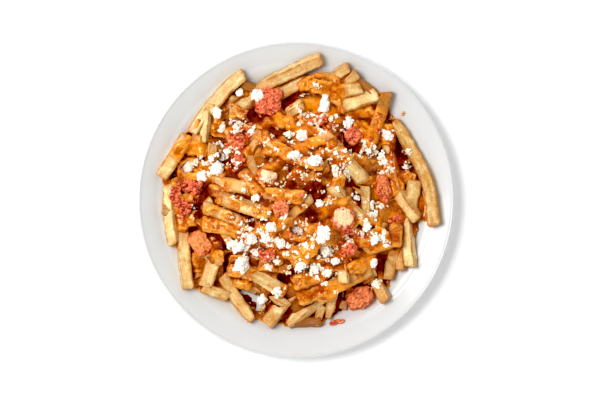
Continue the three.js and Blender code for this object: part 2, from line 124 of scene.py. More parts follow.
def seeded_random(seed):
    """Repeatable random numbers from 0 to 1, the same as the frame was laid out with."""
    state = seed & 0xFFFFFFFF
    while True:
        state = (state + 0x6D2B79F5) & 0xFFFFFFFF
        t = ((state ^ (state >> 15)) * (1 | state)) & 0xFFFFFFFF
        t = ((t + (((t ^ (t >> 7)) * (61 | t)) & 0xFFFFFFFF)) & 0xFFFFFFFF) ^ t
        yield (t ^ (t >> 14)) / 4294967296


def drawn(draw, limits):
    """The next random number, spread evenly between two limits."""
    low, high = limits
    return low + next(draw) * (high - low)


def scrambled(places, seed):
    """A repeatable whole number from 0 to 65535 for each place on the lattice."""
    key = places[:, 0] * 374761393 + places[:, 1] * 668265263 + places[:, 2] * 2147483647 + seed
    key = (key & 0xFFFFFFFF) * 1274126177 & 0xFFFFFFFF
    key = (key ^ (key >> 13)) * 1274126177 & 0xFFFFFFFF
    return (key ^ (key >> 16)) & 0xFFFF


def noise(points, size, seed=0):
    """Smooth noise from about -1 to 1 at each point, with bumps of the given size."""
    cells = np.asarray(points, float) / size + KEEPS_POSITIVE
    base = np.floor(cells).astype(np.int64)
    part = cells - base
    part = part * part * (3 - 2 * part)
    total = np.zeros(len(cells))
    for corner in range(8):
        step = np.array([corner & 1, corner >> 1 & 1, corner >> 2 & 1])
        value = scrambled(base + step, seed * 97531) / 32767.5 - 1
        total += value * np.where(step, part, 1 - part).prod(axis=1)
    return total


def grains(points, size, seed=0):
    """For each point: a number of its nearest grain, and how far it is from the grain's edge."""
    cells = np.asarray(points, float) / size + KEEPS_POSITIVE
    base = np.floor(cells).astype(np.int64)
    nearest = np.full(len(cells), 9.0)
    second = np.full(len(cells), 9.0)
    number = np.zeros(len(cells))
    for step in np.ndindex(3, 3, 3):
        at = base + np.array(step) - 1
        spot = [scrambled(at, seed * 97531 + k * 7919) / 65535 for k in range(3)]
        away = np.linalg.norm(at + np.stack(spot, 1) - cells, axis=1)
        closer = away < nearest
        second = np.where(closer, nearest, np.minimum(second, away))
        number = np.where(closer, spot[0], number)
        nearest = np.where(closer, away, nearest)
    return number, second - nearest


def noise_layers(points, layers):
    """A sum of noises, each given by its height, the size of its bumps and its seed."""
    return sum(height * noise(points, size, seed) for height, size, seed in layers)


def smooth_step(low, high, value):
    """0 below low, 1 above high and a smooth ramp between."""
    share = np.clip((value - low) / (high - low), 0, 1)
    return share * share * (3 - 2 * share)


print("noise sample:", np.round(noise([[1.0, 2.0, 3.0], [9.5, 2.0, 3.0]], 4.0), 3))

# %% [markdown]
# ## The camera
# The photograph looks straight down from far enough away that the plate's sides don't show. A
# long lens high above gives that. Its focal length follows from the plate's real width and the
# width that it fills in the picture.

# %% Camera
IMAGE_WIDTH_PX = 600
PLATE_WIDTH_PX = 317
PLATE_CENTRE_X_PX = 296
PLATE_DIAMETER = 270
CAMERA_HEIGHT = 3600
SENSOR_WIDTH = 36
RIM_TOP = 20
mm_per_px = PLATE_DIAMETER / PLATE_WIDTH_PX
camera_data = bpy.data.cameras.new("camera")
camera_data.sensor_width = SENSOR_WIDTH
camera_data.lens = SENSOR_WIDTH * (CAMERA_HEIGHT - RIM_TOP) / (IMAGE_WIDTH_PX * mm_per_px)
camera = bpy.data.objects.new("camera", camera_data)
camera.location = ((IMAGE_WIDTH_PX / 2 - PLATE_CENTRE_X_PX) * mm_per_px * MM, 0, CAMERA_HEIGHT * MM)
bpy.context.scene.collection.objects.link(camera)
bpy.context.scene.camera = camera
print("lens in mm:", round(camera_data.lens), "millimetres a pixel:", round(mm_per_px, 4))

# %% [markdown]
# ## Studio light
# The real light is one large soft box to the left of the plate and a white room all round. The
# soft box leaves a short soft shadow at the plate's right. The white walls fill the rest, while
# the ceiling stays dim: a bright one would fog every glossy thing that faces the camera.

# %% Lights
WALL_LIGHT = 0.86
CEILING_LIGHT = 0.12
WALLS_END = 0.62
CEILING_STARTS = 0.93
KEY_POWER = 33
KEY_SIZE = 1000
KEY_PLACE = (-960, 340, 1950)


def add_softbox(name, place_mm, size_mm, power):
    """A square lamp that faces the plate."""
    data = bpy.data.lights.new(name, "AREA")
    data.size = size_mm * MM
    data.energy = power
    lamp = bpy.data.objects.new(name, data)
    lamp.location = [c * MM for c in place_mm]
    lamp.rotation_euler = (-lamp.location).to_track_quat("-Z", "Y").to_euler()
    bpy.context.scene.collection.objects.link(lamp)
    return lamp


add_softbox("key softbox", KEY_PLACE, KEY_SIZE, KEY_POWER)
world = bpy.data.worlds.new("white room")
world.use_nodes = True
direction = add_node(world, "ShaderNodeTexCoord")
direction_parts = add_node(world, "ShaderNodeSeparateXYZ", {}, {0: direction.outputs["Generated"]})
room = add_node(world, "ShaderNodeMapRange", {
    "interpolation_type": "SMOOTHSTEP", "From Min": WALLS_END, "From Max": CEILING_STARTS,
    "To Min": WALL_LIGHT, "To Max": CEILING_LIGHT}, {"Value": direction_parts.outputs["Z"]})
world.node_tree.links.new(room.outputs[0], world.node_tree.nodes["Background"].inputs["Strength"])
world.node_tree.nodes["Background"].inputs["Color"].default_value = (1, 1, 1, 1)
bpy.context.scene.world = world

# %% [markdown]
# ## Developing the picture
# A product photograph is finished with levels: its darkest tones are pulled down to black and
# its palest up to white. Blender's view settings do the same to the rendered light.

# %% Levels
BLACK_LEVEL = 0.017
WHITE_LEVEL = 0.93
CONTRAST = 0.86
view = bpy.context.scene.view_settings
view.view_transform = "Standard"
view.gamma = CONTRAST
view.use_curve_mapping = True
view.curve_mapping.black_level = [BLACK_LEVEL] * 3
view.curve_mapping.white_level = [WHITE_LEVEL] * 3
view.curve_mapping.update()

# %% [markdown]
# ## The floor
# The dish stands on a light table, a sheet of white acrylic that is lit from below. It stays
# pure white in the picture, and it lifts the plate's shadow to a pale grey.

# %% Floor
FLOOR_REACH = 6000
LIGHT_FROM_BELOW = 0.11
acrylic, acrylic_output = new_material("white acrylic lit from below")
acrylic_shader = add_node(acrylic, "ShaderNodeBsdfPrincipled", {
    "Base Color": linear("#FDFDFD"), "Roughness": 0.9, "Specular IOR Level": 0.2,
    "Emission Color": (1, 1, 1, 1), "Emission Strength": LIGHT_FROM_BELOW})
finish_material(acrylic, acrylic_output, acrylic_shader)
floor = new_piece("floor", [
    (-FLOOR_REACH, -FLOOR_REACH, 0), (FLOOR_REACH, -FLOOR_REACH, 0),
    (FLOOR_REACH, FLOOR_REACH, 0), (-FLOOR_REACH, FLOOR_REACH, 0)], [(0, 1, 2, 3)], acrylic)

# %% [markdown]
# ## The plate
# Hotel porcelain is pressed from clay, fired, dipped in clear glaze and fired again. The glaze
# rounds every edge and gives a sharp, low reflection over a white body. The section is one
# line that is turned about the upright axis, as on a potter's wheel.

# %% Plate shape
PLATE_RADIUS = 135
WELL_RADIUS = 98
RIM_RADIUS = 118
WELL_HEIGHT = 6
RIM_HEIGHT = 13
WALL = 4
FOOT_RADIUS = 82
FOOT_WIDTH = 6
FOOT_HEIGHT = 2.5
UNDERSIDE = ((129, 15.2), (120, RIM_HEIGHT - WALL), (108, 6.4), (95, 3.9), (87, 2.9))
LIP_TURN = (80, -70)
LIP_STEPS = 9
PLATE_TURNS = 256


def plate_height(radius):
    """Height of the plate's upper face at a distance from its middle."""
    rim = np.clip((radius - RIM_RADIUS) / (PLATE_RADIUS - RIM_RADIUS), 0, 1)
    wall = smooth_step(WELL_RADIUS, RIM_RADIUS, radius)
    return WELL_HEIGHT + (RIM_HEIGHT - WELL_HEIGHT) * wall + (RIM_TOP - RIM_HEIGHT) * rim


def plate_section():
    """The plate's section as points of radius and height, from the top face to the underside."""
    upper_radii = np.concatenate([np.linspace(2, WELL_RADIUS, 12), np.linspace(99, 132.4, 30)])
    upper = [(r, float(plate_height(r))) for r in upper_radii]
    lip = [(PLATE_RADIUS - WALL / 2 + math.cos(a) * WALL / 2,
            RIM_TOP - WALL / 2 + math.sin(a) * WALL / 2)
           for a in np.radians(np.linspace(*LIP_TURN, LIP_STEPS))]
    foot = [(FOOT_RADIUS + 2, FOOT_HEIGHT), (FOOT_RADIUS + 0.5, 0.6), (FOOT_RADIUS - 0.6, 0),
            (FOOT_RADIUS - FOOT_WIDTH + 2.4, 0), (FOOT_RADIUS - FOOT_WIDTH + 1.4, 0.6),
            (FOOT_RADIUS - FOOT_WIDTH, FOOT_HEIGHT), (50, FOOT_HEIGHT), (2, FOOT_HEIGHT)]
    return upper + lip + list(UNDERSIDE) + foot


def turned(section, turns):
    """Points and faces of a closed section turned about the upright axis."""
    angles = np.arange(turns) * 2 * np.pi / turns
    points = [(r * math.cos(a), r * math.sin(a), z) for a in angles for r, z in section]
    count = len(section)
    faces = []
    for i in range(turns):
        here = i * count
        there = ((i + 1) % turns) * count
        faces += [(here + k, here + k + 1, there + k + 1, there + k) for k in range(count - 1)]
    top = [i * count for i in range(turns)]
    bottom = [i * count + count - 1 for i in reversed(range(turns))]
    return points, faces + [top, bottom]


# %% Glazed porcelain
GLAZE_WAVE = 28
porcelain, porcelain_output = new_material("glazed hotel porcelain")
place = add_node(porcelain, "ShaderNodeTexCoord")
waves = add_node(porcelain, "ShaderNodeTexNoise", {"Scale": 1 / (GLAZE_WAVE * MM), "Detail": 1.0},
                 {"Vector": place.outputs["Object"]})
glaze_bump = add_node(porcelain, "ShaderNodeBump", {"Strength": 0.05, "Distance": 0.4 * MM},
                      {"Height": waves.outputs["Fac"]})
body_tint = add_node(porcelain, "ShaderNodeMix", {
    "data_type": "RGBA", 6: linear("#DFE0E0"), 7: linear("#D9DADA")}, {0: waves.outputs["Fac"]})
porcelain_shader = add_node(porcelain, "ShaderNodeBsdfPrincipled", {
    "Roughness": 0.22, "IOR": 1.5, "Specular IOR Level": 0.35, "Coat Weight": 0.12,
    "Coat Roughness": 0.08}, {
    "Base Color": body_tint.outputs[2], "Normal": glaze_bump.outputs["Normal"]})
finish_material(porcelain, porcelain_output, porcelain_shader)

plate_points, plate_faces = turned(plate_section(), PLATE_TURNS)
plate = new_piece("plate_glazed", plate_points, plate_faces, porcelain)
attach(plate, "root")
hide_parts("plate")
print("plate faces:", len(plate_faces))

# %% [markdown]
# ## Where each fry lies
# The list follows the heap from the photograph, in millimetres from the plate's middle. Each
# row is a fry: the layer it lies in, its width, the stretch of it that is under sauce in
# shares of its length, how brown it was fried from 0 to 1, and the line it lies along. The
# highest tones are partly painted shade, on fries that lie in shadow.

# %% The listed fries
BARE = ()
COATED = ((0, 1),)
UPPER_LEFT_FRIES = [
    (2, 12, BARE, 0.36, [(-44, 107), (-58, 96), (-75, 75)]),
    (1, 10, BARE, 0.25, [(-71, 83), (-89, 57)]),
    (2, 8, BARE, 0.1, [(-75, 77), (-79, 49)]),
    (1, 12, ((0, 0.55),), 0.25, [(-92, 55), (-115, 19)]),
    (1, 10, COATED, 0.4, [(-83, 56), (-90, 38)]),
    (1, 9, COATED, 0.4, [(-76, 54), (-81, 38)]),
    (1, 10, COATED, 0.4, [(-66, 46), (-72, 34)]),
    (2, 8, ((0.3, 1),), 0.3, [(-71, 48), (-72, 22)]),
    (2, 11, ((0.5, 1),), 0.35, [(-53, 89), (-60, 68)]),
    (3, 13, ((0.62, 1),), 0.15, [(-32, 94), (-51, 73)]),
    (1, 8, BARE, 0.85, [(-46, 99), (-20, 90)]),
    (2, 10, COATED, 0.4, [(-57, 74), (-36, 71)]),
]
LEFT_FRIES = [
    (0, 11, BARE, 0.15, [(-108, 14), (-108, -10), (-104, -38)]),
    (1, 9, BARE, 0.4, [(-114, -8), (-90, -16)]),
    (1, 9, COATED, 0.4, [(-99, -10), (-95, -34)]),
    (1, 11, BARE, 0.25, [(-97, -27), (-95, -53), (-92, -76)]),
    (3, 11, COATED, 0.4, [(-94, -19), (-86, -14), (-76, -20)]),
    (3, 13, COATED, 0.4, [(-80, -20), (-62, -23), (-46, -30)]),
    (3, 11, ((0, 0.3), (0.72, 1)), 0.4, [(-79, -6), (-39, -22)]),
    (3, 12, ((0, 0.1), (0.2, 0.5), (0.92, 1)), 0.4, [(-72, 16), (-32, 9)]),
    (3, 13, ((0, 0.1), (0.26, 0.46), (0.75, 1)), 0.4, [(-67, 3), (-22, -12)]),
]
LOWER_LEFT_FRIES = [
    (2, 14, COATED, 0.4, [(-88, -51), (-62, -49)]),
    (1, 8, COATED, 0.4, [(-84, -40), (-83, -66)]),
    (1, 13, BARE, 0.35, [(-66, -42), (-78, -74)]),
    (0, 10, BARE, 0.4, [(-80, -75), (-57, -83)]),
    (1, 11, BARE, 0.45, [(-63, -64), (-52, -83), (-37, -103)]),
    (2, 9, ((0, 0.3),), 0.35, [(-53, -69), (-29, -78), (-5, -90)]),
    (3, 13, ((0, 0.42), (0.93, 1)), 0.2, [(-58, -58), (-37, -63), (-9, -79)]),
    (2, 10, COATED, 0.4, [(-32, -55), (-2, -58)]),
]
LOWER_FRIES = [
    (1, 7, BARE, 0.2, [(-10, -72), (-30, -95)]),
    (1, 13, BARE, 0.5, [(2, -74), (-25, -106)]),
    (1, 12, BARE, 0.25, [(32, -74), (-7, -107)]),
    (0, 8, BARE, 0.95, [(-8, -105), (22, -104)]),
    (0, 8, BARE, 0.4, [(28, -68), (17, -107)]),
    (1, 9, BARE, 0.35, [(34, -66), (27, -101)]),
    (0, 9, BARE, 0.4, [(44, -62), (39, -93)]),
    (1, 11, BARE, 0.55, [(58, -50), (77, -86)]),
]
RIGHT_FRIES = [
    (1, 10, ((0, 0.35),), 0.5, [(84, -37), (78, -68)]),
    (0, 10, BARE, 0.6, [(89, -30), (90, -60)]),
    (1, 12, BARE, 0.15, [(94, -12), (95.5, -32), (98, -57)]),
    (1, 11, BARE, 0.52, [(84, 68), (98, 43), (112, 15), (118, -22)]),
    (1, 13, BARE, 0.3, [(101, 17), (97, -8)]),
    (0, 6, COATED, 0.9, [(96, 28), (103, 10)]),
    (1, 8, COATED, 0.4, [(84, 17), (97, 24)]),
    (3, 12, ((0, 0.68),), 0.2, [(78, 65), (81, 34), (87, 8), (104, -17)]),
    (2, 12, COATED, 0.4, [(85, -20), (84, -40)]),
]
UPPER_RIGHT_FRIES = [
    (1, 12, BARE, 0.32, [(-34, 95), (22, 121)]),
    (2, 12, BARE, 0.5, [(-16, 89), (12, 103)]),
    (1, 10, BARE, 0.4, [(17, 94), (45, 114)]),
    (2, 10, BARE, 0.3, [(30, 85), (52, 108)]),
    (0, 9, BARE, 0.85, [(44, 107), (68, 89)]),
    (2, 9, COATED, 0.4, [(2, 96), (19, 104), (37, 100)]),
    (2, 10, COATED, 0.4, [(3, 84), (24, 100)]),
    (2, 10, COATED, 0.4, [(0, 81), (19, 82)]),
    (3, 12, ((0, 0.5),), 0.3, [(30, 91), (56, 96)]),
    (3, 13, COATED, 0.4, [(20, 98), (40, 84)]),
    (2, 10, COATED, 0.4, [(42, 72), (66, 76)]),
    (2, 9, COATED, 0.4, [(49, 65), (67, 60)]),
    (3, 13, ((0, 0.12),), 0.15, [(37, 79), (53, 84), (70, 90)]),
    (4, 11, ((0.22, 1),), 0.8, [(77, 92), (72, 72), (60, 41)]),
]
MIDDLE_FRIES = [
    (2, 8, COATED, 0.4, [(-17, 76), (-11, 61)]),
    (3, 10, BARE, 0.2, [(-8, 73), (6, 82)]),
    (2, 8, COATED, 0.4, [(-6, 72), (-4, 54)]),
    (3, 11, ((0, 0.32), (0.62, 1)), 0.25, [(-36, 57), (-3, 36)]),
    (2, 10, COATED, 0.4, [(12, 47), (31, 56)]),
    (3, 12, COATED, 0.4, [(-27, 5), (8, 2)]),
    (2, 9, BARE, 0.5, [(-42, 40), (-34, 20)]),
    (2, 9, BARE, 0.5, [(-16, 22), (-6, 6)]),
    (4, 14, ((0, 0.35), (0.72, 1)), 0.3, [(32, 44), (48, 27), (66, 8)]),
    (4, 11, ((0.3, 0.6), (0.78, 1)), 0.3, [(30, 12), (45, -4), (64, -22)]),
    (2, 9, BARE, 0.3, [(58, 12), (58, -12)]),
    (3, 17, COATED, 0.4, [(79, -11), (67, -22)]),
    (3, 17, COATED, 0.4, [(55, -40), (80, -33)]),
    (3, 19, COATED, 0.4, [(23, -31), (-4, -52)]),
    (4, 14, COATED, 0.4, [(2, -84), (34, -72), (64, -58)]),
    (4, 13, COATED, 0.4, [(-2, -71), (32, -60)]),
    (4.2, 10, BARE, -0.5, [(39.5, -59), (41, -71)]),
    (4, 12, COATED, 0.4, [(45, -60), (62, -53)]),
]

# %% [markdown]
# ## The fries that the others cover
# Below the ones that show lie more, at random. A sunflower spiral spreads their middles evenly,
# and the seeded numbers give each its turn and length.

# %% The hidden fries and the whole list
HIDDEN_FRIES = [(0.2, 5, 66), (1.2, 8, 50), (2.2, 7, 40)]
HIDDEN_FRY_LENGTH = (48, 66)
HIDDEN_FRY_WIDTH = (9, 11)
HIDDEN_FRY_TONE = 0.4
HIDDEN_FRY_SEED = 7
GOLDEN_TURN = math.pi * (3 - math.sqrt(5))


def straight_fry(away, bearing, turn, half_length):
    """The line of a straight fry: how far and where its middle lies, and how it is turned."""
    x = away * math.cos(bearing)
    y = away * math.sin(bearing)
    run_x = half_length * math.cos(turn)
    run_y = half_length * math.sin(turn)
    return [(x - run_x, y - run_y), (x + run_x, y + run_y)]


def hidden_fries():
    """Rows for the fries under the others: layer, width, sauce, tone and line."""
    draw = seeded_random(HIDDEN_FRY_SEED)
    rows = []
    for layer, count, reach in HIDDEN_FRIES:
        for i in range(count):
            away = reach * math.sqrt((i + 0.5) / count)
            turn = next(draw) * math.pi
            half_length = drawn(draw, HIDDEN_FRY_LENGTH) / 2
            width = drawn(draw, HIDDEN_FRY_WIDTH)
            line = straight_fry(away, i * GOLDEN_TURN + layer, turn, half_length)
            rows.append((layer + 0.01 * i, width, COATED, HIDDEN_FRY_TONE, line))
    return rows


listed_fries = (UPPER_LEFT_FRIES + LEFT_FRIES + LOWER_LEFT_FRIES + LOWER_FRIES + RIGHT_FRIES
                + UPPER_RIGHT_FRIES + MIDDLE_FRIES)
fry_rows = sorted(listed_fries + hidden_fries(), key=lambda row: row[0])
print("fries:", len(fry_rows))

# %% [markdown]
# ## Laying the fries on each other
# A physics run would shuffle the fries away from the photograph. So they are laid one by one,
# lowest layer first, on a grid of heights: each takes the slope of what lies under it, bends a
# little with the broader bumps, and then raises the grid for the next one.

# %% The grid of heights
CELL = 2
REACH = 140
SIDE = 2 * REACH // CELL + 1
CORE_RADIUS = 92
CORE_HEIGHT = 22
CORE_FULLNESS = 0.7
FRY_THICKNESS = 10
SAUCE_FILM = 1
SOFT_SINK = 3
FAR = 99.0
STEEPEST_LEAN = math.tan(math.radians(24))
LIMPNESS = 0.5
RIDE_UP = 0.3
BEND_WINDOW = 6
SIDE_INSET = 1
CURVE_SAMPLES = 201
LEAST_STEPS = 4


def core_height(radius):
    """Height of the mound under the fries at a distance from its middle."""
    share = np.minimum(radius / CORE_RADIUS, 1)
    return WELL_HEIGHT + CORE_HEIGHT * (1 - share * share) ** CORE_FULLNESS


grid_x, grid_y = np.meshgrid(np.arange(SIDE) * CELL - REACH, np.arange(SIDE) * CELL - REACH)
grid_radius = np.hypot(grid_x, grid_y)
ground = np.maximum(plate_height(grid_radius),
                    np.where(grid_radius < CORE_RADIUS, core_height(grid_radius), 0))
bare_ground = ground.copy()
covered = np.zeros_like(ground, bool)


def cell_at(x, y):
    """Row and column of the grid at a place."""
    column = np.clip(np.floor((x + REACH) / CELL + 0.5).astype(int), 0, SIDE - 1)
    row = np.clip(np.floor((y + REACH) / CELL + 0.5).astype(int), 0, SIDE - 1)
    return row, column


def spaced_line(line):
    """Points about a cell apart on a smooth curve through the given ones, and its length."""
    ends = [line[0]] + list(line) + [line[-1]]
    fine = []
    for share in np.linspace(0, 1, CURVE_SAMPLES):
        at = share * (len(line) - 1)
        k = min(int(at), len(line) - 1)
        t = at - k
        if k == len(line) - 1:
            fine.append(line[-1])
            continue
        p0, p1, p2, p3 = [np.array(ends[k + i], float) for i in range(4)]
        v0 = (p2 - p0) / 2
        v1 = (p3 - p1) / 2
        fine.append((2 * p1 - 2 * p2 + v0 + v1) * t ** 3
                    + (-3 * p1 + 3 * p2 - 2 * v0 - v1) * t ** 2 + v0 * t + p1)
    fine = np.array(fine)
    travelled = np.concatenate([[0], np.cumsum(np.hypot(*np.diff(fine, axis=0).T))])
    length = travelled[-1]
    count = max(LEAST_STEPS, int(math.floor(length / CELL + 0.5)))
    stops = np.linspace(0, length, count + 1)
    return np.stack([np.interp(stops, travelled, fine[:, k]) for k in (0, 1)], 1), stops


# %% Lay every fry
def sideways(plan):
    """The level direction across a line at each of its points."""
    before = plan[np.maximum(np.arange(len(plan)) - 1, 0)]
    after = plan[np.minimum(np.arange(len(plan)) + 1, len(plan) - 1)]
    run = after - before
    run /= np.linalg.norm(run, axis=1)[:, None]
    return np.stack([run[:, 1], -run[:, 0]], 1)


def footprint(plan, side, half):
    """Rows and columns of the grid's cells under a fry, one row of them a place along it."""
    steps = np.arange(-half - 1, half + 1.01, 1)
    return cell_at(plan[:, :1] + side[:, :1] * steps, plan[:, 1:] + side[:, 1:] * steps)


def bending(over):
    """The broader bumps under a fry, as an average over some places on both sides."""
    return np.array([over[max(i - BEND_WINDOW, 0):i + BEND_WINDOW + 1].mean()
                     for i in range(len(over))])


def straight_line(along, heights):
    """Heights of the straight line that leans as the given heights do, within limits."""
    away = along - along.mean()
    slope = (away * (heights - heights.mean())).sum() / (away ** 2).sum()
    return heights.mean() + min(max(slope, -STEEPEST_LEAN), STEEPEST_LEAN) * away


def lay_fry(row):
    """Lay one fry on the ground and give back its line, sideways directions and heights."""
    layer, width, sauce, tone, line = row
    plan, along = spaced_line(line)
    side = sideways(plan)
    half = width / 2 - SIDE_INSET
    offsets = np.array([-half, -half / 2, 0, half / 2, half])
    spots = plan[:, None, :] + side[:, None, :] * offsets[None, :, None]
    bumps = ground[cell_at(spots[..., 0], spots[..., 1])].mean(axis=1)
    leaning = straight_line(along, bumps)
    over = bumps - leaning
    share = along / along[-1]
    film = np.zeros(len(along))
    for start, stop in sauce:
        film[(share >= start) & (share <= stop)] = SAUCE_FILM
    low = leaning + LIMPNESS * bending(over) + RIDE_UP * math.sqrt((over ** 2).mean()) - SOFT_SINK
    thickness = min(width, FRY_THICKNESS)
    cells = footprint(plan, side, half)
    top = np.broadcast_to((low + thickness + film)[:, None], cells[0].shape)
    np.maximum.at(ground, cells, top)
    if row in listed_fries:
        covered[cells] = True
    return {"plan": plan, "side": side, "along": along, "middle": low + (thickness + film) / 2,
            "width": width, "thickness": thickness, "sauce": sauce, "tone": tone,
            "shows": row in listed_fries}


fries = [lay_fry(row) for row in fry_rows]
print("highest fry in mm:", round(float(ground.max()), 1))

# %% [markdown]
# ## A roof over the fries where something lies on them
# The frame already holds the chunks of chicken and the lumps of cheese. Where one of them lies,
# nothing of the fries or the sauce may rise over its lower half, or it would be buried. A grid
# of the greatest heights says so: a ray from above finds the cells under each lump. Two chunks
# lie so deep that the roof also covers a little room round them.

# %% The roof
ABOVE = 90
DOWN = Vector((0, 0, -1))
SEEN_SHARE = 0.55
NO_ROOF = 80.0
DEEP_CHUNKS = ("chicken_09", "chicken_18")
ROOM_ROUND = 1.15


def solid_tree(node):
    """A search tree of a node's faces, and its middle, in millimetres."""
    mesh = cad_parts[node].data
    points = np.array([v.co for v in mesh.vertices]) / MM
    tree = BVHTree.FromPolygons(points.tolist(), [list(p.vertices) for p in mesh.polygons])
    low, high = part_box(node)
    return tree, np.array((low + high) / 2) / MM


lump_nodes = sorted(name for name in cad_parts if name.startswith(("chicken", "cheese")))
roof = np.full_like(ground, NO_ROOF)
for name in lump_nodes:
    tree = solid_tree(name)[0]
    low, high = [np.array(corner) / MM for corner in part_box(name)]
    limit = high[2] - SEEN_SHARE * (high[2] - low[2])
    under = (grid_x > low[0]) & (grid_x < high[0]) & (grid_y > low[1]) & (grid_y < high[1])
    if name in DEEP_CHUNKS:
        from_middle = np.hypot((grid_x - (low[0] + high[0]) / 2) / (high[0] - low[0]),
                               (grid_y - (low[1] + high[1]) / 2) / (high[1] - low[1]))
        roof[from_middle < ROOM_ROUND / 2] = limit
    for i, j in zip(*np.nonzero(under)):
        if tree.ray_cast(Vector((grid_x[i, j], grid_y[i, j], ABOVE)), DOWN)[0] is not None:
            roof[i, j] = min(roof[i, j], limit)
print("cells under a roof:", int((roof < NO_ROOF).sum()))

# %% [markdown]
# ## Filling the heap
# Between the listed fries the photograph shows others, deeper and half hidden, and only here
# and there a dark hole. So more are tried at random under the surface: one stays if it closes
# enough of the open space, keeps clear of the holes and lies below everything that shows. A hole
# is an oval: place, half length and half breadth. Where the white plate itself shows between
# fries, a circle keeps the fries and the sauce away.

# %% The fries between
DEEP_HOLES = [
    (-38, 76, 4, 6), (-8, 82, 5, 5), (-60, 37, 6, 11), (-76, 10, 3, 10), (-83, -7, 6, 4),
    (-28, -2, 6, 5), (-44, -11, 3, 2), (-34, -17, 5, 3), (-58, -55, 4, 13), (-89, -27, 7, 3),
    (-71, -31, 6, 3), (-28, -51, 11, 7), (-11, -68, 6, 4), (0, 26, 4, 3), (-3, 14, 2, 3),
    (21, 8, 8, 8), (14, -14, 4, 7), (49, 48, 8, 10), (71, 43, 3, 8), (88, 43, 4, 17),
    (94, 14, 3, 5), (50, -20, 3, 5), (74, -55, 6, 9), (54, -72, 13, 5), (33, -78, 9, 4),
]
CLEAN_PLATE = [(-45, -76, 5), (-40, -81, 6), (-35, -86, 6), (-31, -91, 5), (108, -23, 4),
               (26, 115, 5), (32, 114, 4), (8, 110, 3.5), (14, 111, 4), (20, 112, 4.5), (28, 110, 4),
               (-39, 102, 5), (-33, 101, 4)]
HEAP_HEIGHT = 8
LEVELS_BETWEEN = ((5, 1500, 0.2, True), (11, 900, 0.25, False))
LENGTH_BETWEEN = (30, 58)
WIDTH_BETWEEN = (8, 11)
TONE_BETWEEN = (0.3, 0.6)
REACH_BETWEEN = 88
LIMP_BETWEEN = 0.6
ROOM_ABOVE = 1.5
MOST_IN_HOLE = 0.04
MOST_PUSH = 9
SEED_BETWEEN = 15
CLEAN_MARGIN = 2
LID_REACH_CELLS = 4
LOWEST_REACH_CELLS = 3


# %% The lid over them
def highest_nearby(heights, reach_cells):
    """The highest value within a square of cells, softened."""
    size = 2 * reach_cells + 1
    padded = np.pad(heights, reach_cells, mode="edge")
    top = np.max([padded[i:i + heights.shape[0], j:j + heights.shape[1]]
                  for i in range(size) for j in range(size)], axis=0)
    padded = np.pad(top, reach_cells, mode="edge")
    return np.mean([padded[i:i + top.shape[0], j:j + top.shape[1]]
                    for i in range(size) for j in range(size)], axis=0)


lid = highest_nearby(ground, LID_REACH_CELLS)
lowest_lid = -highest_nearby(-lid, LOWEST_REACH_CELLS)
in_heap = lowest_lid - plate_height(grid_radius) > HEAP_HEIGHT
for x, y, radius in CLEAN_PLATE:
    in_heap &= np.hypot(grid_x - x, grid_y - y) > radius + CLEAN_MARGIN


# %% Try a fry between
def fry_between(drop, open_space, least_share, keep_holes, draw):
    """Try one fry below the surface, and give it back if it closes enough open space."""
    away = REACH_BETWEEN * math.sqrt(next(draw))
    bearing = next(draw) * 2 * math.pi
    turn = next(draw) * math.pi
    half_length = drawn(draw, LENGTH_BETWEEN) / 2
    width = drawn(draw, WIDTH_BETWEEN)
    plan, along = spaced_line(straight_fry(away, bearing, turn, half_length))
    side = sideways(plan)
    cells = footprint(plan, side, width / 2 - SIDE_INSET)
    if not in_heap[cells].all() or open_space[cells].mean() < least_share:
        return None
    if keep_holes and hole_cells[cells].mean() > MOST_IN_HOLE:
        return None
    thickness = min(width, FRY_THICKNESS)
    wanted = lid[cell_at(plan[:, 0], plan[:, 1])] - drop
    line = straight_line(along, wanted)
    top = line + LIMP_BETWEEN * bending(wanted - line)
    under = np.where(covered[cells], top[:, None] - ground[cells] + ROOM_ABOVE, -FAR).max()
    under = max(under, (top[:, None] - roof[cells]).max())
    if under > MOST_PUSH:
        return None
    top = top - max(under, 0)
    open_space[cells] = False
    return {"plan": plan, "side": side, "along": along, "middle": top - thickness / 2,
            "width": width, "thickness": thickness, "sauce": COATED,
            "tone": drawn(draw, TONE_BETWEEN), "shows": keep_holes}


# %% Fill the heap
hole_cells = np.zeros_like(covered)
for x, y, half_length, half_breadth in DEEP_HOLES:
    hole_cells |= ((grid_x - x) / half_length) ** 2 + ((grid_y - y) / half_breadth) ** 2 < 1
between_draw = seeded_random(SEED_BETWEEN)
between = []
for drop, tries, least_share, keep_holes in LEVELS_BETWEEN:
    open_space = in_heap & ~covered
    for _ in range(tries):
        fry = fry_between(drop, open_space, least_share, keep_holes, between_draw)
        if fry:
            between.append(fry)
fries += between
print("fries between:", len(between))

# %% [markdown]
# ## Making room for the chicken and the cheese
# The pieces on top press the soft fries under them down. Each fry sinks where it passes under a
# chunk or a lump, so far that the upper half of the piece stays in sight. The plate stops it: a
# fry's underside goes no deeper than its soft skin gives way to the porcelain.

# %% Press the fries down
MOST_PRESS = 14
PLATE_SINK = 2.0
PRESS_MARGIN = 2
PRESS_WINDOW = 3
PRESS_ROUNDS = 2


def around_each(values, reach, combine):
    """A combination of the values on both sides of each place along a fry."""
    return np.array([combine(values[max(i - reach, 0):i + reach + 1]) for i in range(len(values))])


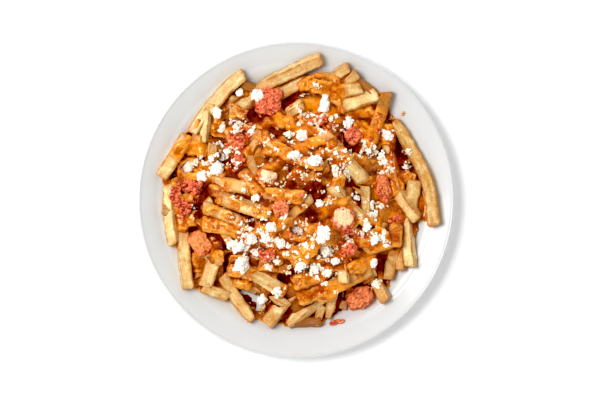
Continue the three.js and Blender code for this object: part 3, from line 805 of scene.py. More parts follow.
def press_down(fry):
    """Sink a fry where it passes under a lump, but not through the plate."""
    cells = footprint(fry["plan"], fry["side"], fry["width"] / 2)
    top = fry["middle"] + fry["thickness"] / 2
    push = np.clip(top[:, None] - roof[cells], 0, MOST_PRESS).max(axis=1)
    push = around_each(around_each(push, PRESS_MARGIN, np.max), PRESS_WINDOW, np.mean)
    outer = np.hypot(*fry["plan"].T) + fry["width"] / 2
    on_plate = plate_height(outer) + fry["thickness"] / 2 - PLATE_SINK
    fry["middle"] = np.maximum(fry["middle"] - push, on_plate)


before = [fry["middle"].copy() for fry in fries]
for _ in range(PRESS_ROUNDS):
    for fry in fries:
        press_down(fry)
pressed = [(old - fry["middle"]).max() for old, fry in zip(before, fries)]
print("pressed fries:", sum(p > 0.5 for p in pressed), "most in mm:", round(max(pressed), 1))
pressed_ground = bare_ground.copy()
for fry in fries:
    cells = footprint(fry["plan"], fry["side"], fry["width"] / 2 - SIDE_INSET)
    top = np.broadcast_to((fry["middle"] + fry["thickness"] / 2)[:, None], cells[0].shape)
    np.maximum.at(pressed_ground, cells, top)

# %% [markdown]
# ## Where the sauce lies
# Curry sauce is thick: it was poured over the middle, it clings to the fries there and stops in
# rounded, uneven edges. One rule says how thick it is at each place along a fry, and both the
# sauce's own shape and the potato's stains use it. A negative thickness means no sauce.

# %% Thickness of the sauce along a fry
THICK_SAUCE = 0.7
NO_SAUCE = -4.0
SAUCE_EDGE = 3.0
EDGE_WANDER = 4.5
EDGE_WANDER_SIZE = 9
PATCH_REACH = 4.5
PATCH_SWING = 9.0
PATCH_SIZE = 11
SAUCE_RIPPLE = ((0.8, 7, 4), (0.65, 3.4, 14))


def sauce_thickness(fry, along, points):
    """Thickness of the sauce in mm at points beside a place along the fry."""
    length = fry["along"][-1]
    inside = np.full(len(points), -FAR)
    for start, stop in fry["sauce"]:
        from_start = along - start * length if start > 0 else FAR
        from_stop = stop * length - along if stop < 1 else FAR
        inside = np.maximum(inside, np.minimum(from_start, from_stop))
    inside = inside + EDGE_WANDER * noise(points, EDGE_WANDER_SIZE, 3)
    if fry["shows"]:
        inside = np.minimum(inside, PATCH_REACH + PATCH_SWING * noise(points, PATCH_SIZE, 5))
    cover = smooth_step(-SAUCE_EDGE, SAUCE_EDGE, inside)
    return NO_SAUCE + (THICK_SAUCE - NO_SAUCE) * cover + noise_layers(points, SAUCE_RIPPLE)


# %% [markdown]
# ## Fried potato
# A fry is cut square from a raw potato and fried twice. Its faces sink a little as it dries,
# its edges stay proud and brown first, and no two are the same width all along. Some taper, all
# are cut off at a slant, and most lie rolled a little to one side. Each fry here is a row of
# rings with twenty points, and all of them are one mesh. Each point also carries numbers that
# the material reads: how near it is to an edge, a tip and the sauce.

# %% Fry shape
RING_STEP = 1.7
SIDE_STOPS = (-0.86, -0.5, 0.0, 0.5, 0.86)
EDGE_AT_STOPS = (1.0, 0.15, 0.0, 0.15, 1.0)
EDGE_AT_CAPS = [0.4, 0.4]
SUNKEN_FACE = 0.955
FACE_RISE = 0.05
END_STEPS = ((0.0, 0.70), (0.4, 0.85), (1.1, 0.94), (2.2, 0.99))
FIRST_FULL_RING = 3
MOST_ROLL = 0.55
ROLL_SHRINK = 0.75
ROLL_WANDER = 0.15
ROLL_WANDER_LENGTH = 25
SIZE_WAVES = ((0.03, 12), (0.015, 5), (0.03, 13))
TAPER_CHANCE = 0.22
TAPER_LENGTH = 11
TAPERED_SIZE = 0.62
LEAST_TAPERED_FRY = 30
MOST_SLANT = 0.7
END_LENGTH = 4
TIP_LENGTH = 3.0
EDGE_RELIEF = 0.4
FRY_RELIEF = ((0.25, 2.4, 8), (0.3, 4.5, 10), (0.4, 9, 9))
GIRTH_STEP = 2.0
GRAIN_OFFSET = 200
FULL_TURN = 6.28
FRY_SHAPE_SEED = 31
MOST_SINK = 1.2


# %% Shape one fry
def kept_above(points):
    """The same points, with those that would pass through the plate lifted into its glaze."""
    least = plate_height(np.hypot(points[:, 0], points[:, 1])) - MOST_SINK
    return np.column_stack([points[:, :2], np.maximum(points[:, 2], least)])


def fry_section():
    """Twenty points round a square with bevelled corners and slightly sunken faces."""
    points = []
    edges = []
    for turn in range(4):
        for stop, edge in zip(SIDE_STOPS, EDGE_AT_STOPS):
            out = SUNKEN_FACE + FACE_RISE * stop * stop
            c = (1, 0, -1, 0)[turn]
            s = (0, 1, 0, -1)[turn]
            points.append((out * c - stop * s, out * s + stop * c))
            edges.append(edge)
    return np.array(points), np.array(edges)


def fry_rings(length):
    """Stops along a fry, closer together near its ends, and its size at each of them."""
    inner = np.linspace(FIRST_FULL_RING, length - FIRST_FULL_RING, max(3, int(length / RING_STEP)))
    stops = np.concatenate([[s for s, _ in END_STEPS], inner,
                            [length - s for s, _ in reversed(END_STEPS)]])
    size = np.concatenate([[k for _, k in END_STEPS], np.ones(len(inner)),
                           [k for _, k in reversed(END_STEPS)]])
    return stops, size


def ring_faces(rings, around):
    """Faces between rings of points, and fans over both ends to two points that come last."""
    faces = [(r * around + k, r * around + (k + 1) % around,
              (r + 1) * around + (k + 1) % around, (r + 1) * around + k)
             for r in range(rings - 1) for k in range(around)]
    cap = rings * around
    faces += [(k, cap, (k + 1) % around) for k in range(around)]
    base = (rings - 1) * around
    return faces + [(base + (k + 1) % around, cap + 1, base + k) for k in range(around)]


def fry_mesh(fry, draw):
    """Points, faces and named numbers of one fry."""
    section, edges = fry_section()
    along = fry["along"]
    length = along[-1]
    stops, size = fry_rings(length)
    phase = [next(draw) * FULL_TURN for _ in range(4)]
    waves = [share * np.sin(stops / wave_length + turn)
             for (share, wave_length), turn in zip(SIZE_WAVES, phase)]
    swell = 1 + waves[0] + waves[1]
    thin = 1 + waves[2]
    for from_end in (stops, length - stops):
        if next(draw) < TAPER_CHANCE and length > LEAST_TAPERED_FRY:
            size = size * (TAPERED_SIZE
                           + (1 - TAPERED_SIZE) * smooth_step(0, TAPER_LENGTH, from_end))
    roll = ((next(draw) - 0.5) * 2 * MOST_ROLL
            + ROLL_WANDER * np.sin(stops / ROLL_WANDER_LENGTH + phase[3]))
    spread = 1 / (np.cos(roll) + np.abs(np.sin(roll)) * fry["thickness"] / fry["width"])
    size = size * (1 - ROLL_SHRINK + ROLL_SHRINK * spread)
    slant = (next(draw) - 0.5) * MOST_SLANT
    x, y = [np.interp(stops, along, fry["plan"][:, k]) for k in (0, 1)]
    z = np.interp(stops, along, fry["middle"])
    side_x, side_y = [np.interp(stops, along, fry["side"][:, k]) for k in (0, 1)]
    u = section[None, :, 0] * (size * swell)[:, None] * fry["width"] / 2
    v = section[None, :, 1] * (size * thin)[:, None] * fry["thickness"] / 2
    across = u * np.cos(roll)[:, None] - v * np.sin(roll)[:, None]
    upward = u * np.sin(roll)[:, None] + v * np.cos(roll)[:, None]
    at_end = smooth_step(END_LENGTH, 0, np.minimum(stops, length - stops))[:, None]
    shift = slant * across * at_end
    points = np.stack([
        x[:, None] + side_x[:, None] * across - side_y[:, None] * shift,
        y[:, None] + side_y[:, None] * across + side_x[:, None] * shift,
        z[:, None] + upward], 2)
    outward = points - np.stack([x, y, z], 1)[:, None, :]
    outward /= np.linalg.norm(outward, axis=2)[:, :, None]
    flat = points.reshape(-1, 3)
    proud = 1 + EDGE_RELIEF * np.tile(edges, len(stops))
    relief = noise_layers(flat, FRY_RELIEF) * proud
    flat = kept_above(flat + outward.reshape(-1, 3) * relief[:, None])
    around = len(section)
    rings = len(stops)
    flat = np.vstack([flat, flat[:around].mean(axis=0), flat[-around:].mean(axis=0)])
    ring_along = np.append(np.repeat(stops, around), [0, length])
    return flat, ring_faces(rings, around), {
        "edge": np.append(np.tile(edges, rings), EDGE_AT_CAPS),
        "tip": np.exp(-np.minimum(ring_along, length - ring_along) / TIP_LENGTH),
        "stain": sauce_thickness(fry, ring_along, flat),
        "tone": np.full(len(flat), fry["tone"]),
        "along": ring_along + GRAIN_OFFSET * phase[0],
        "girth": np.append(np.tile(np.arange(around) * GIRTH_STEP, rings), [0, 0])}


def joined(parts):
    """Many meshes of points, faces and named numbers as one."""
    points = np.vstack([part[0] for part in parts])
    faces = []
    start = 0
    for part in parts:
        faces += [tuple(i + start for i in face) for face in part[1]]
        start += len(part[0])
    numbers = {key: np.concatenate([part[2][key] for part in parts]) for key in parts[0][2]}
    return points, faces, numbers


shape_draw = seeded_random(FRY_SHAPE_SEED)
potato_points, potato_faces, potato_numbers = joined(
    [fry_mesh(fry, shape_draw) for fry in fries if fry["shows"]])
print("potato triangles, about:", 2 * len(potato_faces))

# %% [markdown]
# ## The colour of fried potato
# Deep-fried potato runs from cream where it was shaded, through gold, to brown at its edges and
# tips, in blotches of half a centimetre. The thin oil left on it gives a broad, weak shine, and
# light sinks a millimetre or two into the starch. Blisters a millimetre across roughen it.

# %% Twice-fried potato
BLOTCH = 6
BLISTER = 1.3
GRAIN_LENGTH = 14
GRAIN_WIDTH = 2.6
potato, potato_output = new_material("twice fried potato")
place = add_node(potato, "ShaderNodeTexCoord")
blotches = add_node(potato, "ShaderNodeTexNoise", {
    "Scale": 1 / (BLOTCH * MM), "Detail": 4.0, "Roughness": 0.6}, {"Vector": place.outputs["Object"]})
blisters = add_node(potato, "ShaderNodeTexNoise", {
    "Scale": 1 / (BLISTER * MM), "Detail": 3.0, "Roughness": 0.6},
    {"Vector": place.outputs["Object"]})
tone, edge, tip, stain, along, girth = [
    add_node(potato, "ShaderNodeAttribute", {"attribute_name": name})
    for name in ("tone", "edge", "tip", "stain", "along", "girth")]
along_share = add_node(potato, "ShaderNodeMath", {"operation": "MULTIPLY", 1: 1 / GRAIN_LENGTH},
                       {0: along.outputs["Fac"]})
girth_share = add_node(potato, "ShaderNodeMath", {"operation": "MULTIPLY", 1: 1 / GRAIN_WIDTH},
                       {0: girth.outputs["Fac"]})
lengthwise = add_node(potato, "ShaderNodeCombineXYZ", {}, {
    "X": along_share.outputs[0], "Y": girth_share.outputs[0]})
streaks = add_node(potato, "ShaderNodeTexNoise", {"Scale": 1.0, "Detail": 3.0, "Roughness": 0.6},
                   {"Vector": lengthwise.outputs[0]})
patchy = add_node(potato, "ShaderNodeMath", {"operation": "ADD"},
                  {0: blotches.outputs["Fac"], 1: streaks.outputs["Fac"]})
speckled = add_node(potato, "ShaderNodeMath", {"operation": "MULTIPLY_ADD", 1: 0.9},
                    {0: blisters.outputs["Fac"], 2: patchy.outputs[0]})
uneven_tone = add_node(potato, "ShaderNodeMath", {"operation": "MULTIPLY_ADD", 1: 1.4, 2: -1.95},
                       {0: speckled.outputs[0]})
fried = add_node(potato, "ShaderNodeMath", {"operation": "ADD", "use_clamp": True},
                 {0: tone.outputs["Fac"], 1: uneven_tone.outputs[0]})
flesh = add_node(potato, "ShaderNodeMix", {
    "data_type": "RGBA", 6: linear("#FAE8AC"), 7: linear("#C8862A")}, {0: fried.outputs[0]})
thin_edge = add_node(potato, "ShaderNodeMapRange", {"From Min": 0.35, "From Max": 1.0},
                     {"Value": edge.outputs["Fac"]})
browning = add_node(potato, "ShaderNodeMath", {"operation": "MAXIMUM"},
                    {0: thin_edge.outputs[0], 1: tip.outputs["Fac"]})
brown_spots = add_node(potato, "ShaderNodeMapRange", {
    "From Min": 0.36, "From Max": 0.62, "To Min": 0.3, "To Max": 1.0},
    {"Value": blotches.outputs["Fac"]})
brown_share = add_node(potato, "ShaderNodeMath", {"operation": "MULTIPLY", "use_clamp": True},
                       {0: browning.outputs[0], 1: brown_spots.outputs[0]})
browned = add_node(potato, "ShaderNodeMix", {"data_type": "RGBA", 7: linear("#B86E1E")},
                   {0: brown_share.outputs[0], 6: flesh.outputs[2]})
# The highest tones turn dark brown: partly long frying, partly painted shade on shaded fries.
brown_and_shaded_fry = add_node(potato, "ShaderNodeMapRange", {
    "From Min": 0.6, "From Max": 1.0, "To Min": 0.0, "To Max": 0.8}, {"Value": tone.outputs["Fac"]})
darkened = add_node(potato, "ShaderNodeMix", {"data_type": "RGBA", 7: linear("#8A4A1E")},
                    {0: brown_and_shaded_fry.outputs[0], 6: browned.outputs[2]})
stained = add_node(potato, "ShaderNodeMapRange", {
    "From Min": -4.5, "From Max": 0.0, "To Min": 0.0, "To Max": 0.85},
    {"Value": stain.outputs["Fac"]})
stain_spots = add_node(potato, "ShaderNodeMapRange", {"From Min": 0.4, "From Max": 0.6},
                       {"Value": blotches.outputs["Fac"]})
sauce_stain = add_node(potato, "ShaderNodeMix", {
    "data_type": "RGBA", 6: linear("#B85A10"), 7: linear("#F0AA44")}, {0: stain_spots.outputs[0]})
potato_colour = add_node(potato, "ShaderNodeMix", {"data_type": "RGBA"}, {
    0: stained.outputs[0], 6: darkened.outputs[2], 7: sauce_stain.outputs[2]})
potato_bump = add_node(potato, "ShaderNodeBump", {"Strength": 0.35, "Distance": 0.35 * MM},
                       {"Height": blisters.outputs["Fac"]})
potato_shader = add_node(potato, "ShaderNodeBsdfPrincipled", {
    "Roughness": 0.36, "IOR": 1.45, "Specular IOR Level": 0.5, "Subsurface Weight": 0.08,
    "Subsurface Radius": (1.6 * MM, 0.9 * MM, 0.4 * MM), "Subsurface Scale": 1.0}, {
    "Base Color": potato_colour.outputs[2], "Normal": potato_bump.outputs["Normal"]})
finish_material(potato, potato_output, potato_shader)

fries_piece = new_piece("fries_potato", potato_points, potato_faces, potato, potato_numbers)
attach(fries_piece, "root")
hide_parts("fries")

# %% [markdown]
# ## Pools of sauce
# Some sauce lies thicker than a film: in hollows between the fries and in runs across them.
# They are ovals: place, length, breadth and turn. Each hangs like a soft sheet over the highest
# points under it and bridges the small gaps.

# %% Pools
SAUCE_POOLS = [
    (-92, 2, 19, 12, 20),
    (-64, 57, 17, 13, 0),
    (10, -44, 30, 17, 38),
    (-48, -50, 22, 14, 0),
    (52, 58, 16, 22, 20),
    (70, -30, 26, 18, 10),
    (28, -82, 26, 12, 14),
    (-58, -14, 18, 12, -20),
    (46, -20, 18, 18, 0),
    (22, 96, 30, 17, -8),
    (-51, -1, 26, 9, -24),
    (-34, -9, 18, 9, -24),
    (-14, 46, 22, 10, -30),
]
SHEET_THICKNESS = 2.4
SHEET_DROP = 2.0
SHEET_FOLD = 1.3
ROOF_REACH_CELLS = 1
SHEET_REACH_CELLS = 2
soft_roof = -highest_nearby(-roof, ROOF_REACH_CELLS)
sheet_height = np.minimum(highest_nearby(pressed_ground, SHEET_REACH_CELLS) - SHEET_DROP,
                          soft_roof - SHEET_FOLD)
print("highest sheet of sauce in mm:", round(float(sheet_height.max()), 1))

# %% [markdown]
# ## The sauce as one liquid
# Liquid has no edges: where two coated fries touch, the sauce fills the corner in a soft curve.
# So the sauce isn't modelled face by face. A field over a grid of voxels holds the distance to
# the nearest coated fry less the sauce's thickness there, mixed softly where fries meet, and
# OpenVDB draws the surface where the field is zero.

# %% The field
VOXEL = 1.0
FIELD_REACH = 124
FIELD_LOW = 5
FIELD_HIGH = 66
SOFTNESS = 0.8
FARTHEST = 12
FRY_MARGIN = 6
FRY_MARGIN_ABOVE = 11
FRY_CORNER = 3.2
SLIMMER = 0.4
POOL_MARGIN = 4
POOL_FOLDS = ((1, 8, 41), (0.5, 4, 42))
RIM_WANDER = 0.25
RIM_THINNING = 0.9
RIM_STRETCH = 5
axis = np.arange(-FIELD_REACH, FIELD_REACH, VOXEL)
levels = np.arange(FIELD_LOW, FIELD_HIGH, VOXEL)
mix = np.full((len(axis), len(axis), len(levels)), 1e-9, np.float32)


def field_window(low, high):
    """Index range of an axis that covers an interval."""
    return max(int((low + FIELD_REACH) / VOXEL) - 1, 0), min(int((high + FIELD_REACH) / VOXEL) + 2,
                                                             len(axis))


def between_cells(heights, x, y):
    """Heights of the grid at places between its cells."""
    u = np.clip((x + REACH) / CELL, 0, SIDE - 1.001)
    v = np.clip((y + REACH) / CELL, 0, SIDE - 1.001)
    i = np.floor(v).astype(int)
    j = np.floor(u).astype(int)
    u = u - j
    v = v - i
    return ((heights[i, j] * (1 - u) + heights[i, j + 1] * u) * (1 - v)
            + (heights[i + 1, j] * (1 - u) + heights[i + 1, j + 1] * u) * v)


# %% Pour the sauce over fries and into pools
def pour(distance, x0, x1, y0, y1, z0, z1):
    """Mix a shape's distances into the field."""
    mix[x0:x1, y0:y1, z0:z1] += np.exp(-np.clip(distance, -FARTHEST, FARTHEST) / SOFTNESS)


def pour_over_fry(fry):
    """Mix one coated fry into the field."""
    plan, side, along = fry["plan"], fry["side"], fry["along"]
    length = along[-1]
    margin = fry["width"] / 2 + FRY_MARGIN
    x0, x1 = field_window(plan[:, 0].min() - margin, plan[:, 0].max() + margin)
    y0, y1 = field_window(plan[:, 1].min() - margin, plan[:, 1].max() + margin)
    x, y = np.meshgrid(axis[x0:x1], axis[y0:y1], indexing="ij")
    flat = np.stack([x.ravel(), y.ravel()], 1)
    gap = ((flat[:, None, :] - plan[None, :, :]) ** 2).sum(axis=2)
    near = gap.argmin(axis=1)
    away = flat - plan[near]
    run = np.stack([-side[near, 1], side[near, 0]], 1)
    place_along = along[near] + (away * run).sum(axis=1)
    across = (away * side[near]).sum(axis=1)
    middle = np.interp(place_along, along, fry["middle"])
    z0 = max(int((middle.min() - FRY_MARGIN_ABOVE - FIELD_LOW) / VOXEL), 0)
    z1 = min(int((middle.max() + FRY_MARGIN_ABOVE - FIELD_LOW) / VOXEL) + 1, len(levels))
    beyond = np.stack(np.broadcast_arrays(
        (np.abs(across) - fry["width"] / 2 + SLIMMER + FRY_CORNER)[:, None],
        np.abs(levels[None, z0:z1] - middle[:, None]) - fry["thickness"] / 2 + FRY_CORNER,
        (np.abs(place_along - length / 2) - length / 2 + FRY_CORNER)[:, None]))
    outside = np.sqrt((np.maximum(beyond, 0) ** 2).sum(axis=0))
    distance = outside + np.minimum(beyond.max(axis=0), 0) - FRY_CORNER
    spots = np.stack([flat[:, 0], flat[:, 1], middle], 1)
    film = sauce_thickness(fry, place_along, spots)
    distance = distance - film[:, None]
    pour(distance.reshape(x.shape + (z1 - z0,)), x0, x1, y0, y1, z0, z1)


def pour_pool(x, y, length, breadth, turn):
    """Mix one oval sheet of sauce into the field."""
    reach = max(length, breadth) / 2 + POOL_MARGIN
    x0, x1 = field_window(x - reach, x + reach)
    y0, y1 = field_window(y - reach, y + reach)
    px, py = np.meshgrid(axis[x0:x1], axis[y0:y1], indexing="ij")
    hang = between_cells(sheet_height, px, py)
    spots = np.stack([px.ravel(), py.ravel(), hang.ravel()], 1)
    fold = noise_layers(spots, POOL_FOLDS).reshape(px.shape)
    angle = math.radians(turn)
    u = ((px - x) * math.cos(angle) + (py - y) * math.sin(angle)) / (length / 2)
    v = ((py - y) * math.cos(angle) - (px - x) * math.sin(angle)) / (breadth / 2)
    past_rim = (np.hypot(u, v) - 1 + RIM_WANDER * fold) * min(length, breadth) / 2
    upward = levels[None, None, :] - (hang + SHEET_FOLD * fold)[:, :, None]
    away = np.hypot(upward, np.maximum(past_rim + SHEET_THICKNESS, 0)[:, :, None])
    thinning = RIM_THINNING * smooth_step(-RIM_STRETCH, 0, past_rim)[:, :, None]
    pour(away - SHEET_THICKNESS / 2 + thinning, x0, x1, y0, y1, 0, len(levels))


for fry in fries:
    if fry["sauce"]:
        pour_over_fry(fry)
for pool in SAUCE_POOLS:
    pour_pool(*pool)
print("field size:", mix.shape)

# %% [markdown]
# ## What lies under the sauce
# Between the fries one would look through to the plate, but in a real heap there is sauce and
# potato farther down. A bed stands in for them: it lies below the surface everywhere, deeper in
# the holes, and gives way under the lumps. The plate's own face cuts the field off below, so
# that the sauce sits on the porcelain. The rows of sauce on the plate and of clean plate are
# circles: place and radius.

# %% The mound below and the plate's face
SAUCE_ON_PLATE = [(-94, 22, 9), (-99, 12, 6), (-85, 9, 9), (-104, 20, 5), (-97, 4, 6), (-86, 30, 6),
                  (91.5, 73.5, 2.8)]
BED_DEPTH = 8
HOLE_DEPTH = 16
BED_RELIEF = 1.6
BED_BUMP = 7
PUDDLE = 1.0
HEAP_CLOSING = 5
ALL_HEAP = 86
SIT_GAP = -0.7
ROOF_PLAY = 1.5
RAGGED_RIM = 0.5
RAGGED_BUMP = 5
HOLE_RIM = (1.15, 0.75)


# %% The bed
def grown(mask, cells):
    """A mask that reaches some cells farther on all sides."""
    padded = np.pad(mask, cells)
    return np.any([padded[i:i + mask.shape[0], j:j + mask.shape[1]]
                   for i in range(2 * cells + 1) for j in range(2 * cells + 1)
                   if (i - cells) ** 2 + (j - cells) ** 2 <= cells * cells], axis=0)


closed_heap = ~grown(~grown(covered, HEAP_CLOSING), HEAP_CLOSING + 1) | (grid_radius < ALL_HEAP)
for x, y, radius in SAUCE_ON_PLATE:
    closed_heap |= np.hypot(grid_x - x, grid_y - y) < radius
for x, y, radius in CLEAN_PLATE:
    closed_heap &= np.hypot(grid_x - x, grid_y - y) > radius
hole_share = np.zeros_like(ground)
grid_spots = np.stack([grid_x.ravel(), grid_y.ravel(), 0 * grid_x.ravel()], 1)
ragged = (RAGGED_RIM * noise(grid_spots, RAGGED_BUMP, 43)).reshape(grid_x.shape)
for x, y, half_length, half_breadth in DEEP_HOLES:
    away = np.hypot((grid_x - x) / half_length, (grid_y - y) / half_breadth) + ragged
    hole_share = np.maximum(hole_share, smooth_step(*HOLE_RIM, away))
bed_height = lowest_lid - BED_DEPTH - (HOLE_DEPTH - BED_DEPTH) * hole_share
bed_height = np.minimum(bed_height, soft_roof)
bed_height = np.maximum(bed_height, plate_height(grid_radius) + PUDDLE)
bed_height = np.where(closed_heap, bed_height, FIELD_LOW)
flat_x, flat_y = np.meshgrid(axis, axis, indexing="ij")
bed = between_cells(bed_height, flat_x, flat_y)
flat_spots = np.stack([flat_x.ravel(), flat_y.ravel(), 0 * flat_x.ravel()], 1)
film = np.minimum(bed, plate_height(np.hypot(flat_x, flat_y)) + PUDDLE)
bed = np.maximum(bed + (BED_RELIEF * noise(flat_spots, BED_BUMP, 12)).reshape(bed.shape), film)
below = levels[None, None, :] - bed[:, :, None]
mix += np.exp(-np.clip(below, -FARTHEST, FARTHEST) / SOFTNESS).astype(np.float32)

# %% Cut the field and draw the surface
field = -SOFTNESS * np.log(mix)
face = plate_height(np.hypot(flat_x, flat_y)) + SIT_GAP
field = np.maximum(field, face[:, :, None] - levels[None, None, :])
open_above = between_cells(soft_roof, flat_x, flat_y) + ROOF_PLAY
field = np.maximum(field, levels[None, None, :] - open_above[:, :, None]).astype(np.float32)
del below, mix
grid = openvdb.FloatGrid(float(FARTHEST))
grid.copyFromArray(np.minimum(field, FARTHEST))
sauce_points, sauce_quads = grid.convertToQuads(isovalue=0.0)
sauce_points = sauce_points * VOXEL + np.array([-FIELD_REACH, -FIELD_REACH, FIELD_LOW])
print("sauce triangles:", 2 * len(sauce_quads))

# %% [markdown]
# ## How the sauce's colour follows its shape
# Where sauce is thin on a raised edge it looks light and yellow, and the ridges are also painted
# lighter as a painted highlight. Its hollows, valleys and deep places are painted darker and red:
# painted shade. Both come from the shape: a smoothed copy of the surface lies inside the ridges
# and outside the hollows, and the distance between the two tells them apart.

# %% Ridges, hollows and depth
BRIM = 6
BRIM_REACH_CELLS = 4
HOLLOW_ROUNDS = 5
VALLEY_ROUNDS = 35
FACE_PLAY = 0.2


def outward_normals(points, quads):
    """A unit normal at every point."""
    a, b, c, d = [points[quads[:, k]] for k in range(4)]
    face = np.cross(c - a, d - b)
    total = np.zeros_like(points)
    for k in range(4):
        for i in range(3):
            total[:, i] += np.bincount(quads[:, k], face[:, i], len(points))
    return total / np.maximum(np.linalg.norm(total, axis=1), 1e-9)[:, None]


def smoothed(values, pairs, rounds):
    """Values averaged with their neighbours' several times."""
    count = len(values)
    degree = np.maximum(np.bincount(pairs.ravel(), minlength=count), 1)
    for _ in range(rounds):
        new = np.empty_like(values)
        for i in range(values.shape[1]):
            new[:, i] = (np.bincount(pairs[:, 0], values[pairs[:, 1], i], count)
                         + np.bincount(pairs[:, 1], values[pairs[:, 0], i], count)) / degree
        values = new
    return values


# %% Measure the surface
sauce_face = plate_height(np.hypot(*sauce_points[:, :2].T)) + SIT_GAP
underside = sauce_points[:, 2] < sauce_face + FACE_PLAY
sauce_quads = sauce_quads[~underside[sauce_quads].all(axis=1)]
volume = (sauce_points[sauce_quads[:, 0]]
          * np.cross(sauce_points[sauce_quads[:, 1]], sauce_points[sauce_quads[:, 2]])).sum()
if volume < 0:
    sauce_quads = sauce_quads[:, ::-1]
sauce_pairs = np.vstack([sauce_quads[:, [0, 1]], sauce_quads[:, [2, 3]]])
sauce_normals = outward_normals(sauce_points, sauce_quads)
softer = smoothed(sauce_points, sauce_pairs, HOLLOW_ROUNDS)
hollow = ((softer - sauce_points) * sauce_normals).sum(axis=1)
softest = smoothed(softer, sauce_pairs, VALLEY_ROUNDS)
valley = ((softest - sauce_points) * sauce_normals).sum(axis=1)
brim = np.minimum(lid, BRIM - highest_nearby(-roof, BRIM_REACH_CELLS))
shade_depth = brim[cell_at(sauce_points[:, 0], sauce_points[:, 1])] - sauce_points[:, 2]
print("hollow range in mm:", np.round(np.percentile(hollow, [2, 50, 98]), 2),
      "valley range in mm:", np.round(np.percentile(valley, [2, 50, 98]), 2),
      "depth range:", np.round(np.percentile(shade_depth, [2, 50, 98]), 1))

# %% [markdown]
# ## Butter sauce
# The sauce is tomato and cream, cooked thick, with butter worked in at the end: smooth, opaque
# and glossy. Its colour is a strong orange with paler swirls of cream, and it is painted deep
# red-brown in its valleys, hollows and deep places: painted shade. Grains of spice speckle it
# dark, and its pale specks are painted glints of fat droplets. The gloss is broad because fine
# droplets of fat break the surface up. The layers of colour come in the order in which they
# cover each other: the number that places one, where it starts and is full, its share, its hue.

# %% Tomato and cream sauce
SWIRL = 19
MOTTLE = 4.5
FAT_DROPLET = 4.0
SPECK = 1.7
sauce, sauce_output = new_material("tomato and cream sauce")
place = add_node(sauce, "ShaderNodeTexCoord")
swirls = add_node(sauce, "ShaderNodeTexNoise", {
    "Scale": 1 / (SWIRL * MM), "Detail": 5.0, "Roughness": 0.6, "Distortion": 0.6},
    {"Vector": place.outputs["Object"]})
droplets = add_node(sauce, "ShaderNodeTexNoise", {
    "Scale": 1 / (FAT_DROPLET * MM), "Detail": 2.0, "Distortion": 1.2},
    {"Vector": place.outputs["Object"]})
mottle = add_node(sauce, "ShaderNodeTexNoise", {
    "Scale": 1 / (MOTTLE * MM), "Detail": 5.0, "Roughness": 0.8}, {"Vector": place.outputs["Object"]})
specks = add_node(sauce, "ShaderNodeTexNoise", {
    "Scale": 1 / (SPECK * MM), "Detail": 2.0, "Roughness": 0.6}, {"Vector": place.outputs["Object"]})
hollow_number, valley_number, shade_depth_number, cream_and_shade = [
    add_node(sauce, "ShaderNodeAttribute", {"attribute_name": name})
    for name in ("hollow", "valley", "shade_depth", "cream_and_painted_light")]
uneven = add_node(sauce, "ShaderNodeMath", {"operation": "MULTIPLY_ADD", 1: 1.2},
                  {0: mottle.outputs["Fac"], 2: swirls.outputs["Fac"]})
swirl_cream_and_shade = add_node(sauce, "ShaderNodeMath", {"operation": "ADD"},
                  {0: uneven.outputs[0], 1: cream_and_shade.outputs["Fac"]})
swirl_share = add_node(sauce, "ShaderNodeMapRange", {
    "From Min": 0.87, "From Max": 1.37}, {"Value": swirl_cream_and_shade.outputs[0]})
cream_swirl_and_shade = add_node(sauce, "ShaderNodeMix", {
    "data_type": "RGBA", 6: linear("#B04A04"), 7: linear("#F59A1C")}, {0: swirl_share.outputs[0]})
# Ridges painted lighter and yellow: thin sauce, and partly a painted highlight.
ridge_share = add_node(sauce, "ShaderNodeMapRange", {
    "From Min": -0.1, "From Max": -0.45, "To Max": 0.8}, {"Value": hollow_number.outputs["Fac"]})
thin_and_lit_ridges = add_node(sauce, "ShaderNodeMix", {"data_type": "RGBA", 7: linear("#FFB545")},
                        {0: ridge_share.outputs[0], 6: cream_swirl_and_shade.outputs[2]})
film_share = add_node(sauce, "ShaderNodeMapRange", {
    "From Min": -0.3, "From Max": -1.3, "To Max": 0.5}, {"Value": valley_number.outputs["Fac"]})
film_spots = add_node(sauce, "ShaderNodeMapRange", {
    "From Min": 0.42, "From Max": 0.6}, {"Value": mottle.outputs["Fac"]})
thin_share = add_node(sauce, "ShaderNodeMath", {"operation": "MULTIPLY"},
                      {0: film_share.outputs[0], 1: film_spots.outputs[0]})
sauce_colour = add_node(sauce, "ShaderNodeMix", {"data_type": "RGBA", 7: linear("#F4BC62")},
                        {0: thin_share.outputs[0], 6: thin_and_lit_ridges.outputs[2]})
# Pale specks: painted glints. Dark specks: spice. Valley, hollow and depth layers: painted shade.
sauce_layers = (
    (specks, 0.58, 0.72, 0.55, "#FFD490"),
    (specks, 0.4, 0.28, 0.55, "#8A2C04"),
    (valley_number, 0.15, 1.4, 0.9, "#963A06"),
    (hollow_number, 0.06, 0.45, 0.9, "#641C06"),
    (shade_depth_number, 7.5, 14.0, 0.92, "#561006"),
)
for source, starts, full, most, hue in sauce_layers:
    share = add_node(sauce, "ShaderNodeMapRange", {
        "From Min": starts, "From Max": full, "To Max": most}, {"Value": source.outputs["Fac"]})
    sauce_colour = add_node(sauce, "ShaderNodeMix", {"data_type": "RGBA", 7: linear(hue)},
                            {0: share.outputs[0], 6: sauce_colour.outputs[2]})
sauce_bump = add_node(sauce, "ShaderNodeBump", {"Strength": 0.3, "Distance": 0.9 * MM},
                      {"Height": droplets.outputs["Fac"]})
